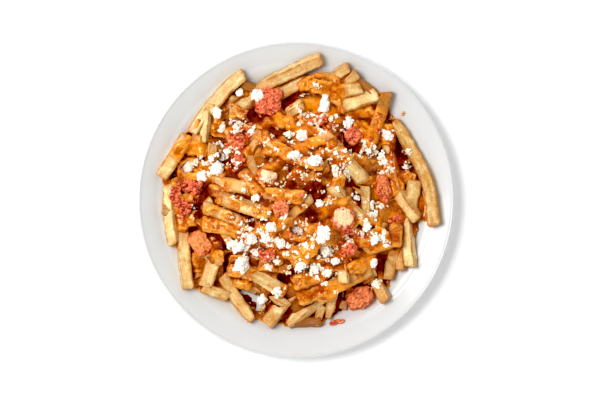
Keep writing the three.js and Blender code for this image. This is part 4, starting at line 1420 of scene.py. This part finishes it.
sauce_shader = add_node(sauce, "ShaderNodeBsdfPrincipled", {
    "Roughness": 0.18, "IOR": 1.45, "Specular IOR Level": 0.8, "Specular Tint": linear("#FFD09A"),
    "Subsurface Weight": 0.05,
    "Subsurface Radius": (1.2 * MM, 0.4 * MM, 0.15 * MM), "Subsurface Scale": 1.0,
    "Coat Weight": 0.2, "Coat Roughness": 0.1}, {
    "Base Color": sauce_colour.outputs[2], "Normal": sauce_bump.outputs["Normal"]})
finish_material(sauce, sauce_output, sauce_shader)

# %% [markdown]
# ## Sauce deep in the gaps
# Down between the fries the sauce is thin and matt, and little light gets there. Its dark
# red-brown colour is painted shade. What light does get there has come through the sauce and is
# deep red. A weak red glow stands in for it, because a surface alone would be black there.

# %% Sauce in the gaps, with painted shade
gap_sauce, gap_sauce_output = new_material("sauce in the gaps with painted shade")
place = add_node(gap_sauce, "ShaderNodeTexCoord")
stains = add_node(gap_sauce, "ShaderNodeTexNoise", {
    "Scale": 1 / (MOTTLE * MM), "Detail": 3.0}, {"Vector": place.outputs["Object"]})
stain_share = add_node(gap_sauce, "ShaderNodeMapRange", {
    "From Min": 0.4, "From Max": 0.68}, {"Value": stains.outputs["Fac"]})
# Dark red-brown colours: painted shade deep in the gaps.
gap_shade_colour = add_node(gap_sauce, "ShaderNodeMix", {
    "data_type": "RGBA", 6: linear("#520F05"), 7: linear("#9A3C0E")}, {0: stain_share.outputs[0]})
gap_sauce_shader = add_node(gap_sauce, "ShaderNodeBsdfPrincipled", {
    "Roughness": 0.7, "Specular IOR Level": 0.08, "Emission Color": linear("#C01800"),
    "Emission Strength": 0.035}, {"Base Color": gap_shade_colour.outputs[2]})
finish_material(gap_sauce, gap_sauce_output, gap_sauce_shader)

# %% [markdown]
# ## Where the sauce is creamy and where it is painted shade
# Sauce isn't stirred evenly. Some spoonfuls held more cream and stayed bright. Where the gaps of
# the heap lie in shadow, dark brown patches are painted shade. The list places them, each as a
# soft round patch: place, radius, and how much creamier it is there, or darker where negative.
# The darkest patches count as deep, so they get the painted shade of the gaps.

# %% Creamy patches and patches of painted shade
CREAM_AND_SHADE_PATCHES = [
    (20, 51, 9, 0.3), (-8, 66, 11, 0.3), (10, 81, 8, 0.5), (6, -40, 15, 0.2), (77, -15, 9, 0.2),
    (44, -4, 8, 0.3), (33, -66, 12, 0.15), (59, -53, 9, 0.25), (-92, 4, 7, 0.1), (-86, 46, 13, 0.25),
    (-85, -19, 8, 0.15), (-60, 64, 8, 0.15), (-45, 74, 7, -0.2), (87, -30, 10, -0.2),
    (5, 14, 9, -0.2), (80, 75, 8, -0.35), (-15, -53, 11, -0.15), (-26, 64, 10, -0.15),
    (88, 44, 9, -0.7), (93, 31, 8, -0.7), (91.5, 73.5, 6, 0.1), (25, 30, 7, -0.2),
    (-56, 34, 10, -0.6), (-48, 24, 8, -0.5),
    (-90, -27, 8, -0.3), (48, 68, 8, -0.3), (-5, 12, 6, -0.7), (17, 7, 9, -0.8), (16, -13, 6, -0.6),
    (7, -10, 8, -0.4), (-77, 6, 7, -0.6), (-18, 57, 7, -0.5), (-36, 72, 7, -0.6), (-29, 2, 6, -0.4),
    (-32, -48, 7, -0.5), (41, 54, 8, -0.6), (-62, -36, 6, -0.6), (-7, -64, 6, -0.7), (29, -53, 6, -0.5),
    (71, -17, 7, 0.4), (21, -81, 7, -0.25),
]
SHADE_PATCHES_FROM = -0.3
SHADE_AS_DEPTH = 20
cream_and_painted_light = np.zeros(len(sauce_points))
for x, y, radius, more in CREAM_AND_SHADE_PATCHES:
    away = np.hypot(sauce_points[:, 0] - x, sauce_points[:, 1] - y)
    cream_and_painted_light += more * smooth_step(1.5 * radius, 0.5 * radius, away)
# The darkest patches add to the depth, so they take the painted shade of the gaps.
shade_depth = shade_depth + SHADE_AS_DEPTH * np.maximum(SHADE_PATCHES_FROM - cream_and_painted_light, 0)

# %% Sauce pieces
DEEP = 12
sauce_numbers = {"hollow": hollow, "valley": valley, "shade_depth": shade_depth, "cream_and_painted_light": cream_and_painted_light}
sauce_pieces = []
deep_quads = shade_depth[sauce_quads].mean(axis=1) > DEEP
left_quads = sauce_points[sauce_quads, 0].mean(axis=1) < 0
for name, chosen, material in (("sauce_left", left_quads & ~deep_quads, sauce),
                               ("sauce_right", ~left_quads & ~deep_quads, sauce),
                               ("sauce_in_gaps", deep_quads, gap_sauce)):
    used, quads = np.unique(sauce_quads[chosen], return_inverse=True)
    piece = new_piece(name, sauce_points[used], quads.reshape(-1, 4).tolist(), material,
                      {label: values[used] for label, values in sauce_numbers.items()})
    piece.data.normals_split_custom_set_from_vertices(sauce_normals[used].tolist())
    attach(piece, "root")
    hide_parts("fries")
    sauce_pieces.append(piece)
    print(name, "triangles:", 2 * len(quads.reshape(-1, 4)))

# %% [markdown]
# ## Lumps that keep their place
# The chicken and the cheese already have plain solids. Each gets a detailed skin: a fine ball is
# blown out from the solid's middle until it meets its faces, softened, and then roughened. The
# skin so keeps the solid's place, size and outline. Two chunks are blocks with straighter sides,
# and they start from a block instead: its turn, length and breadth.

# %% A fine skin on a plain solid
def ball(rounds):
    """Points, faces and neighbour pairs of a fine unit ball."""
    shape = bmesh.new()
    bmesh.ops.create_icosphere(shape, subdivisions=rounds, radius=1)
    points = np.array([v.co for v in shape.verts])
    faces = [tuple(v.index for v in f.verts) for f in shape.faces]
    pairs = np.array([[v.index for v in e.verts] for e in shape.edges])
    shape.free()
    return points, faces, pairs


BALLS = {rounds: ball(rounds) for rounds in (1, 2, 3, 5, 6)}


def skin(node, rounds, softening):
    """A fine ball blown out to a node's faces: its middle, directions and distances."""
    directions, faces, pairs = BALLS[rounds]
    tree, middle = solid_tree(node)
    start = Vector(middle)
    reach = np.array([tree.ray_cast(start, Vector(d))[3] or 1.0 for d in directions])
    reach = smoothed(reach[:, None], pairs, softening)[:, 0]
    return middle, directions, reach, faces, pairs


# %% [markdown]
# ## Tandoori chicken
# Thigh meat is stained red by its spice paste, grilled and torn into chunks. It breaks along its
# fibres, so the surface is a bundle of ridges a millimetre or two apart, in one direction for
# each chunk. Its crevices and torn edges are painted dark red: painted shade. Outside them the
# meat is a little lighter salmon.

# %% Chicken shape
FIBRE_STRETCH = 2.2
LUMP_RELIEF = ((1, 7.0, 21), (0.7, 3.2, 25))
STRAND_RELIEF = ((0.6, 1.68, 22),)
FINE_RELIEF = ((0.45, 1.3, 23), (0.2, 0.8, 24))
CHIP = 2.6
TORN_EDGE = 0.12
TORN_DEPTH = 0.2
SKIN_SINK = 0.2
FULL_RELIEF_RADIUS = 7
LUMPINESS = 1.5
BLOCK_LUMPINESS = 0.7
LARGE_CHUNK = 18
LARGE_ROUNDS = (6, 3)
SMALL_ROUNDS = (5, 1)
CHUNK_SPREAD = 1.1
MOST_LEAN = 1.2
EVEN_ROUNDS = 12
CREVICE_FROM = -0.1
CREVICE_TO = 0.1
CREVICE_GROWTH = 0.7
CREVICE_SHARE = 0.85
TORN_SHARE = 0.3
BLOCK_SHARPNESS = 4
BLOCK_DENTS = (0.09, 6, 27)
BLOCKS = {"chicken_01": (-8, 20, 21), "chicken_07": (-53, 19, 15.5)}
FACING_DENTS = (0.25, 4, 26)
PALE_FACING = (0.2, 0.5)
PALE_CUTS = ("chicken_13", "chicken_14")
PALE_OVER_CREVICE = 0.7
LIGHTER_FACING = (0.1, 0.6)
LIGHTER_TOPS = {"chicken_07": 0.8, "chicken_08": 0.35, "chicken_11": 0.5, "chicken_12": 0.4}


# %% Tear the chunks
def block_reach(directions, turn, sides):
    """Distances from the middle to the faces of a block with rounded edges."""
    angle = math.radians(turn)
    lengthwise = directions[:, 0] * math.cos(angle) + directions[:, 1] * math.sin(angle)
    sideward = directions[:, 1] * math.cos(angle) - directions[:, 0] * math.sin(angle)
    shares = [np.abs(part) * 2 / side
              for part, side in zip((lengthwise, sideward, directions[:, 2]), sides)]
    return sum(share ** BLOCK_SHARPNESS for share in shares) ** (-1 / BLOCK_SHARPNESS)


def fibrous(node, draw):
    """Points, faces and named numbers of a torn chunk in the place of a node."""
    low, high = [np.array(corner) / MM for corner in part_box(node)]
    large = max(high - low) > LARGE_CHUNK
    rounds, softening = LARGE_ROUNDS if large else SMALL_ROUNDS
    middle, directions, reach, faces, pairs = skin(node, rounds, softening)
    if node in BLOCKS:
        turn, length, breadth = BLOCKS[node]
        reach = block_reach(directions, turn, (length, breadth, high[2] - low[2]))
        reach = reach * (1 + noise_layers(directions * reach[:, None] + middle, (BLOCK_DENTS,)))
    flatness = np.hypot(directions[:, 0], directions[:, 1])
    reach = reach * (1 + (CHUNK_SPREAD - 1) * flatness)
    points = middle + directions * reach[:, None]
    turn = next(draw) * math.pi
    lean = (next(draw) - 0.5) * MOST_LEAN
    grain = np.array([math.cos(turn) * math.cos(lean), math.sin(turn) * math.cos(lean),
                      math.sin(lean)])
    along = (points @ grain)[:, None] * grain
    stretched = points - along * (1 - 1 / FIBRE_STRETCH)
    size = min(1.0, reach.mean() / FULL_RELIEF_RADIUS)
    lumpy = BLOCK_LUMPINESS if node in BLOCKS else LUMPINESS
    chip, inward = grains(stretched, CHIP, 28)
    torn = smooth_step(TORN_EDGE, 0.0, inward)
    relief = size * (lumpy * noise_layers(points, LUMP_RELIEF)
                     + noise_layers(stretched, STRAND_RELIEF) + noise_layers(points, FINE_RELIEF)
                     + lumpy * (chip - 0.5) - TORN_DEPTH * torn)
    rough = kept_above(middle + directions * (reach + relief - SKIN_SINK)[:, None])
    even = smoothed(rough, pairs, EVEN_ROUNDS)
    hidden_by = ((even - rough) * directions).sum(axis=1)
    # Crevices and torn edges: painted shade, darker where the smoothed skin lies above them.
    crevice_shade = smooth_step(CREVICE_FROM, CREVICE_GROWTH * size + CREVICE_TO, hidden_by)
    crevice_shade = np.maximum(CREVICE_SHARE * crevice_shade, TORN_SHARE * torn)
    facing = directions[:, 2] + noise_layers(points, (FACING_DENTS,))
    pale = smooth_step(*PALE_FACING, facing) * (node in PALE_CUTS)
    crevice_shade = crevice_shade * (1 - PALE_OVER_CREVICE * pale)
    # Some chunks are lighter on their upward faces.
    lighter_top = smooth_step(*LIGHTER_FACING, facing) * LIGHTER_TOPS.get(node, 0)
    return rough, faces, {"crevice_shade": crevice_shade, "out_of_crevice": 1 - crevice_shade, "pale": pale, "lighter_top": lighter_top}


# %% [markdown]
# ## The colour of the chicken
# The spice paste is red all through, paler where the meat is thick. Torn fibres stand off as
# light flecks, partly a painted highlight. Some chunks are lighter on their upward faces, two
# cuts show the white meat inside, and the crevices are painted shade. The layers come in the
# order in which they cover each other, with the same kind of rows as for the sauce.

# %% Red spiced chicken
CHAR = 5
STRAND = 1.6
CHICKEN_SEED = 51
chicken, chicken_output = new_material("red spiced chicken")
place = add_node(chicken, "ShaderNodeTexCoord")
patches = add_node(chicken, "ShaderNodeTexNoise", {
    "Scale": 1 / (CHAR * MM), "Detail": 2.0}, {"Vector": place.outputs["Object"]})
strands = add_node(chicken, "ShaderNodeTexNoise", {
    "Scale": 1 / (STRAND * MM), "Detail": 3.0, "Roughness": 0.65},
    {"Vector": place.outputs["Object"]})
crevice_shade, out_of_crevice, lighter_top, pale = [
    add_node(chicken, "ShaderNodeAttribute", {"attribute_name": name})
    for name in ("crevice_shade", "out_of_crevice", "lighter_top", "pale")]
patch_share = add_node(chicken, "ShaderNodeMapRange", {
    "From Min": 0.40, "From Max": 0.62}, {"Value": patches.outputs["Fac"]})
chicken_colour = add_node(chicken, "ShaderNodeMix", {
    "data_type": "RGBA", 6: linear("#C62A12"), 7: linear("#F26C3A")}, {0: patch_share.outputs[0]})
# Light flecks are partly painted highlight; the crevice layer is painted shade.
chicken_layers = (
    (strands, 0.47, 0.62, 0.95, "#FFB484"),
    (out_of_crevice, 0.85, 1.0, 0.3, "#FFA983"),
    (lighter_top, 0.0, 1.0, 1.0, "#F8AC68"),
    (pale, 0.0, 1.0, 1.0, "#F8E0B4"),
    (crevice_shade, 0.0, 1.0, 0.9, "#7A1206"),
)
for source, starts, full, most, hue in chicken_layers:
    share = add_node(chicken, "ShaderNodeMapRange", {
        "From Min": starts, "From Max": full, "To Max": most}, {"Value": source.outputs["Fac"]})
    chicken_colour = add_node(chicken, "ShaderNodeMix", {"data_type": "RGBA", 7: linear(hue)},
                              {0: share.outputs[0], 6: chicken_colour.outputs[2]})
chicken_bump = add_node(chicken, "ShaderNodeBump", {"Strength": 0.5, "Distance": 0.4 * MM},
                        {"Height": strands.outputs["Fac"]})
chicken_shader = add_node(chicken, "ShaderNodeBsdfPrincipled", {
    "Roughness": 0.42, "IOR": 1.45, "Specular IOR Level": 0.35, "Subsurface Weight": 0.08,
    "Subsurface Radius": (1.4 * MM, 0.5 * MM, 0.3 * MM), "Subsurface Scale": 1.0}, {
    "Base Color": chicken_colour.outputs[2], "Normal": chicken_bump.outputs["Normal"]})
finish_material(chicken, chicken_output, chicken_shader)

# %% Chunks of chicken
chicken_draw = seeded_random(CHICKEN_SEED)
chicken_nodes = sorted(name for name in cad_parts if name.startswith("chicken"))
lump_pieces = []
for node in chicken_nodes:
    points, faces, numbers = fibrous(node, chicken_draw)
    piece = new_piece(node.replace("chicken", "tandoori"), points, faces, chicken, numbers)
    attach(piece, "root")
    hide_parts(node)
    lump_pieces.append(piece)
print("chunks of chicken:", len(chicken_nodes))

# %% [markdown]
# ## Shreds of chicken
# Torn meat leaves shreds that lie about the chunks and join some of them into one ragged mass.
# Each is a small ball that the same noise tears, dropped on whatever lies highest under it. The
# first list says place, length and breadth. The patches say place, half length, half breadth
# and how many shreds fall there.

# %% Shreds of chicken
SHREDS = [
    (-101, 15, 6, 4), (-96, 12, 6, 5), (-105, 9, 5, 4), (-106, 3, 6, 5), (-101, -3, 7, 5),
    (-97, -7, 6, 5), (-93, -11, 7, 5), (-97, -15, 6, 4), (-82, 14, 6, 5), (-84, 7, 5, 4),
    (-56, 55, 7, 5), (-49, 38, 7, 5), (-60, 44, 5, 4), (-41, 55, 6, 4), (-52, 25, 6, 4),
    (23, 68, 7, 6), (17, 72, 5, 4), (28, 62, 5, 4), (-4, 80, 4, 3), (4, 77, 4, 3),
    (-42, -38, 6, 4), (-47, -43, 5, 4), (-36, -45, 5, 4), (43, -26, 6, 5), (48, -43, 6, 5),
    (38, -36, 5, 4), (41, -47, 6, 4), (71, 6, 6, 4), (76, 0, 5, 4), (85, -14, 5, 4),
    (80, -18, 5, 4), (63, 52, 5, 4), (70, 58, 5, 4), (47, -28, 5, 4), (-30, -44, 5, 4),
]
SHRED_PATCHES = [
    (-48, 48, 16, 20, 26), (20, 66, 16, 12, 14), (-20, 72, 26, 8, 7), (-38, -36, 18, 12, 22),
    (45, -36, 10, 18, 26), (74, 4, 10, 20, 18), (-94, 0, 12, 18, 20), (0, -30, 60, 40, 12),
]
SHRED_SIZES = (1.6, 4.2)
SHRED_FLATNESS = (0.6, 0.9)
SHRED_LENGTHS = (1.1, 1.6)
SHRED_BREADTH = 0.8
SHRED_SINK = 0.2
SHRED_CHIP = 0.5
LEAST_CHIP = 0.9
SHRED_RELIEF = ((1, 2.2, 93), (0.6, 1.1, 94))
SHRED_ROUGHNESS = 0.22
SHRED_CHIPPING = 1.2
SHRED_ROUNDS = 3
SHRED_CREVICE = 0.25
CROWDING = 0.6
SHRED_SEED = 91


# %% One shred
def spun(shape, angle):
    """A shape turned about the upright axis."""
    return np.stack([shape[:, 0] * math.cos(angle) - shape[:, 1] * math.sin(angle),
                     shape[:, 0] * math.sin(angle) + shape[:, 1] * math.cos(angle),
                     shape[:, 2]], 1)


def shred_mesh(x, y, length, breadth, draw):
    """Points, faces and named numbers of one shred, that rests on the dish at a place."""
    directions, faces, pairs = BALLS[3]
    angle = next(draw) * math.pi
    sides = np.array([length, breadth, breadth * drawn(draw, SHRED_FLATNESS)]) / 2
    spot = np.array([x, y, height_on(plain_tree, x, y) + (0.5 - SHRED_SINK) * sides[2]])
    points = spun(directions * sides, angle) + spot
    chip, _ = grains(points, max(SHRED_CHIP * breadth, LEAST_CHIP), 92)
    relief = SHRED_ROUGHNESS * breadth * (noise_layers(points, SHRED_RELIEF)
                                          + SHRED_CHIPPING * (chip - 0.5))
    rough = points + directions * relief[:, None]
    even = smoothed(rough, pairs, SHRED_ROUNDS)
    # Crevices of the shred: painted shade.
    crevice_shade = smooth_step(0, SHRED_CREVICE, ((even - rough) * directions).sum(axis=1))
    nothing = np.zeros(len(rough))
    return rough, faces, {"crevice_shade": crevice_shade, "out_of_crevice": 1 - crevice_shade, "pale": nothing,
                          "lighter_top": nothing}


def tree_of(pieces):
    """One search tree of several pieces' faces, in millimetres."""
    points = []
    faces = []
    for piece in pieces:
        start = len(points)
        points += [tuple(c / MM for c in v.co) for v in piece.data.vertices]
        faces += [[i + start for i in p.vertices] for p in piece.data.polygons]
    return BVHTree.FromPolygons(points, faces)


def height_on(tree, x, y):
    """Height of a tree's highest face at a place."""
    return tree.ray_cast(Vector((x, y, ABOVE)), DOWN)[0].z


# %% Scatter the shreds
plain_tree = tree_of([plate, fries_piece] + sauce_pieces + lump_pieces)
shred_draw = seeded_random(SHRED_SEED)
shreds = [shred_mesh(*row, shred_draw) for row in SHREDS]
for x, y, half_length, half_breadth, count in SHRED_PATCHES:
    for _ in range(count):
        angle = next(shred_draw) * 2 * math.pi
        away = next(shred_draw) ** CROWDING
        low, high = SHRED_SIZES
        size = low + (high - low) * next(shred_draw) ** 2
        shreds.append(shred_mesh(x + half_length * away * math.cos(angle),
                                 y + half_breadth * away * math.sin(angle),
                                 size * drawn(shred_draw, SHRED_LENGTHS), size * SHRED_BREADTH,
                                 shred_draw))
shred_points, shred_faces, shred_numbers = joined(shreds)
shred_piece = new_piece("tandoori_shreds", shred_points, shred_faces, chicken, shred_numbers)
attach(shred_piece, "root")
lump_pieces.append(shred_piece)
print("shreds:", len(shreds), "triangles:", len(shred_piece.data.polygons))

# %% [markdown]
# ## Fresh white cheese
# Fresh curd cheese is pressed, not aged, so it crumbles between the fingers into grains of a
# few millimetres that stick together. It is almost pure white, matt, and light goes well into
# it, which fills its small shadows. A faint white glow adds to that: painted light.

# %% Cheese shape
GRAINS_A_LUMP = 24
GRAIN_SHARE = (0.25, 0.6)
LARGEST_GRAIN = 3.2
GRAIN_REACH = 1.12
GRAIN_DEPTH = (0.7, 1.3)
GRAIN_TWIST = 0.7
LUMP_CORE = 0.8
FACET = 0.9
LEAST_FACET = 0.7
CHEESE_SEED = 61


# %% Grains that stick together
def angular(centre, radius, directions, seed):
    """Points of one grain of cheese, with flat, uneven faces."""
    points = centre + directions * radius
    number, _ = grains(points, max(radius * FACET, LEAST_FACET), seed)
    return points + directions * (radius * FACET * (number - 0.5))[:, None]


def crumbly(node, draw):
    """Points and faces of a lump of grains that stick together, in the place of a node."""
    tree, middle = solid_tree(node)
    directions, faces, _ = BALLS[1]
    parts = []
    for i in range(GRAINS_A_LUMP):
        up = 1 - 2 * (i + 0.5) / GRAINS_A_LUMP
        level = math.sqrt(1 - up * up)
        turn = i * GOLDEN_TURN + GRAIN_TWIST * next(draw)
        heading = np.array([level * math.cos(turn), level * math.sin(turn), up])
        reach = (tree.ray_cast(Vector(middle), Vector(heading))[3] or 1.0) * GRAIN_REACH
        radius = min(reach * drawn(draw, GRAIN_SHARE), LARGEST_GRAIN)
        centre = middle + heading * (reach - radius * drawn(draw, GRAIN_DEPTH))
        parts.append((angular(centre, radius, directions, 60 + i), faces, {}))
    core = (tree.ray_cast(Vector(middle), Vector((0, 0, 1)))[3] or 1.0) * LUMP_CORE
    parts.append((angular(middle, core, directions, 59), faces, {}))
    return joined(parts)


# %% Fresh curd cheese
CURD_GRAIN = 1.0
curd, curd_output = new_material("fresh curd cheese")
place = add_node(curd, "ShaderNodeTexCoord")
curd_grains = add_node(curd, "ShaderNodeTexNoise", {
    "Scale": 1 / (CURD_GRAIN * MM), "Detail": 3.0, "Roughness": 0.65},
    {"Vector": place.outputs["Object"]})
curd_colour = add_node(curd, "ShaderNodeMix", {
    "data_type": "RGBA", 6: linear("#FBF6EA"), 7: linear("#FFFFFC")}, {0: curd_grains.outputs["Fac"]})
cream_and_bounce = add_node(curd, "ShaderNodeAttribute", {"attribute_name": "cream_and_painted_light"})
# Cream tint: small crumbs' own cream, and painted warm light on crumbs deep in the gaps.
cream_and_bounce_tint = add_node(curd, "ShaderNodeMix", {"data_type": "RGBA", 7: linear("#F9E6BE")},
                      {0: cream_and_bounce.outputs["Fac"], 6: curd_colour.outputs[2]})
curd_bump = add_node(curd, "ShaderNodeBump", {"Strength": 0.6, "Distance": 0.35 * MM},
                     {"Height": curd_grains.outputs["Fac"]})
# A faint white glow: painted light that fills the cheese's small shadows.
curd_shader = add_node(curd, "ShaderNodeBsdfPrincipled", {
    "Roughness": 0.6, "IOR": 1.4, "Subsurface Weight": 0.1,
    "Subsurface Radius": (1.0 * MM, 0.9 * MM, 0.7 * MM), "Subsurface Scale": 1.0,
    "Emission Color": linear("#FFF8E8"), "Emission Strength": 0.03}, {
    "Base Color": cream_and_bounce_tint.outputs[2], "Normal": curd_bump.outputs["Normal"]})
finish_material(curd, curd_output, curd_shader)

# %% Lumps of cheese
cheese_nodes = sorted(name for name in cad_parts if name.startswith("cheese"))
cheese_draw = seeded_random(CHEESE_SEED)
for node in cheese_nodes:
    points, faces, _ = crumbly(node, cheese_draw)
    piece = new_piece(node.replace("cheese", "curd"), points, faces, curd)
    piece.data.shade_flat()
    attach(piece, "root")
    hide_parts(node)
    lump_pieces.append(piece)
print("lumps of cheese:", len(cheese_nodes))

# %% [markdown]
# ## Crumbs
# Crumbling by hand leaves far more crumbs than lumps, most of them finer than rice. They fall in
# patches, and about half of them lie against the one before. Each drops straight down on
# whatever is highest there, found by a ray from above. Those that fell deep are tinted cream:
# painted light, the warm light that the sauce throws into the gaps. The small lumps are a few
# grains together: place, length and breadth. The patches say place, half length, half breadth,
# how many fall there and how large they get.

# %% Crumbs of cheese
SMALL_LUMPS = [
    (-86, 32, 9, 7), (-49, 40, 8, 4), (18, 98, 6, 5), (5, 89, 5, 3), (78, 56, 9, 9),
    (74, 24, 7, 6), (78, 25, 4, 4), (94, 29, 8, 6), (95, 42, 6, 5), (-26, -32, 9, 9),
    (-17, -52, 8, 6), (-24, -57, 5, 5), (-6, -62, 10, 4), (4, -56, 9, 9), (-14, -78, 9, 9),
    (66, -12, 9, 9), (72, -5, 9, 5), (57, -29, 6, 5), (68, -72, 9, 7), (43, -31, 5, 4),
    (51, 2, 7, 7), (25, -71, 9, 4), (34, -78, 3, 3), (75, -27, 3, 3), (50, -26, 3, 3),
    (10, -41, 3, 3), (15, -33, 5, 5), (-6, -39, 4, 5), (-53, 2, 3, 3), (-87, -6, 4, 3),
    (-6, 54, 7, 8), (-3.5, 48.5, 4, 4), (1, -24, 9, 8), (26, -43, 9, 9),
]
CRUMB_PATCHES = [
    (-50, 64, 14, 8, 60, 1.0),
    (20, 67, 16, 10, 42, 1.0),
    (40, 32, 8, 14, 60, 0.9),
    (63, 45, 6, 9, 34, 1.0),
    (76, 28, 6, 9, 30, 1.0),
    (-22, -31, 30, 18, 84, 0.95),
    (18, -42, 28, 26, 76, 0.9),
    (62, -12, 9, 20, 46, 1.0),
    (-67, 36, 22, 14, 46, 0.9),
    (8, 40, 26, 10, 32, 0.9),
    (18, 62, 18, 16, 36, 0.8),
    (-40, -30, 16, 12, 60, 0.9),
    (-10, 10, 42, 34, 90, 0.6),
    (0, -10, 78, 62, 70, 0.6),
    (0, 30, 70, 50, 50, 0.6),
]
CRUMB_SIZES = (1.4, 4.3)
CRUMB_FLATNESS = (0.6, 1.0)
CRUMB_LENGTHS = (0.95, 1.4)
FINER = 1.8
SMALL = 2.8
LARGER = 3.5
CRUMB_SINK = 0.25
CRUMB_FACET = 0.4
CRUMB_CREVICE = 0.1
DEEP_CRUMB = (3, 10)
MOST_BOUNCE_TINT = 0.7
MOST_BOUNCE_TINT_LARGER = 0.2
CLUMPED = 0.55
CLUSTER = 5
CLUSTERED_LENGTH = 4
CLUSTER_MIDDLE = 0.4
LONE_SHARE = 0.8
CLUSTER_ROOM = 0.66
CLUSTER_REACH = 0.34
CLUSTER_SIZES = (0.3, 0.55)
BESIDE_REACH = 0.62
LEAST_BESIDE = 0.9
BESIDE_GROWTH = 0.25
NEAREST = 0.45
CRUMB_SEED = 77

# %% One crumb
dish_tree = tree_of([plate, fries_piece] + sauce_pieces + lump_pieces)


def crumb_mesh(x, y, length, breadth, draw):
    """One crumb that rests on the dish at a place."""
    size = (length + breadth) / 2
    directions, faces, _ = BALLS[1 if size < FINER else 2 if size < LARGER else 3]
    angle = next(draw) * math.pi
    stretch = np.array([length, breadth, breadth * drawn(draw, CRUMB_FLATNESS)]) / size
    shape = spun(directions * stretch * size / 2, angle)
    spot = np.array([x, y, height_on(dish_tree, x, y) + CRUMB_SINK * size])
    number, inward = grains(shape + spot, max(size * CRUMB_FACET, LEAST_CHIP), 70)
    relief = size * (number - 0.5 - CRUMB_CREVICE * smooth_step(0.25, 0.0, inward))
    sunken = lid[cell_at(np.array(x), np.array(y))] - spot[2]
    # Crumbs that lie deep get a cream tint: painted light that the orange sauce throws into the gaps.
    painted_bounce = float(smooth_step(*DEEP_CRUMB, sunken))
    if size < SMALL:
        cream_and_painted_light = max(next(draw) ** 1.3, MOST_BOUNCE_TINT * painted_bounce)
    else:
        cream_and_painted_light = MOST_BOUNCE_TINT_LARGER * painted_bounce
    cream_and_painted_light = np.full(len(shape), cream_and_painted_light)
    return shape + spot + directions * relief[:, None], faces, {"cream_and_painted_light": cream_and_painted_light}


def keeps_apart(spots, x, y, size):
    """Whether a crumb of this size would lie clear of the ones before it."""
    return all(math.hypot(x - other_x, y - other_y) > NEAREST * (size + other_size)
               for other_x, other_y, other_size in spots)


# %% Scatter the crumbs
crumb_draw = seeded_random(CRUMB_SEED)
crumbs = []
spots = []
for x, y, length, breadth in SMALL_LUMPS:
    clustered = length > CLUSTERED_LENGTH
    share = CLUSTER_MIDDLE if clustered else LONE_SHARE
    crumbs.append(crumb_mesh(x, y, share * length, share * breadth, crumb_draw))
    spots.append((x, y, CLUSTER_ROOM * max(length, breadth)))
    for _ in range(CLUSTER if clustered else 0):
        angle = next(crumb_draw) * 2 * math.pi
        away = CLUSTER_REACH * next(crumb_draw) ** 0.5
        size = breadth * drawn(crumb_draw, CLUSTER_SIZES)
        crumbs.append(crumb_mesh(x + away * length * math.cos(angle),
                                 y + away * breadth * math.sin(angle),
                                 size * 1.3, size * 0.9, crumb_draw))
    for _ in range(CLUSTER):
        angle = next(crumb_draw) * 2 * math.pi
        size = LEAST_BESIDE + BESIDE_GROWTH * breadth * next(crumb_draw)
        beside_x = x + BESIDE_REACH * length * math.cos(angle)
        beside_y = y + BESIDE_REACH * breadth * math.sin(angle)
        if keeps_apart(spots, beside_x, beside_y, size):
            crumbs.append(crumb_mesh(beside_x, beside_y, size * 1.1, size * 0.9, crumb_draw))
            spots.append((beside_x, beside_y, size))
for x, y, half_length, half_breadth, count, fineness in CRUMB_PATCHES:
    for _ in range(count):
        angle = next(crumb_draw) * 2 * math.pi
        away = next(crumb_draw) ** CROWDING
        low, high = CRUMB_SIZES
        size = low + (high * fineness - low) * next(crumb_draw) ** 1.8
        longer = drawn(crumb_draw, CRUMB_LENGTHS)
        spot_x = x + half_length * away * math.cos(angle)
        spot_y = y + half_breadth * away * math.sin(angle)
        if next(crumb_draw) < CLUMPED:
            last_x, last_y, last_size = spots[-1]
            spot_x = last_x + 0.5 * (size + last_size) * math.cos(angle)
            spot_y = last_y + 0.5 * (size + last_size) * math.sin(angle)
        if keeps_apart(spots, spot_x, spot_y, size):
            crumbs.append(crumb_mesh(spot_x, spot_y, size * longer, size / longer, crumb_draw))
            spots.append((spot_x, spot_y, size))
crumb_points, crumb_faces, crumb_numbers = joined(crumbs)
crumb_piece = new_piece("curd_crumbs", crumb_points, crumb_faces, curd, crumb_numbers)
crumb_piece.data.shade_flat()
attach(crumb_piece, "root")
print("crumbs:", len(crumbs), "triangles:", len(crumb_faces))
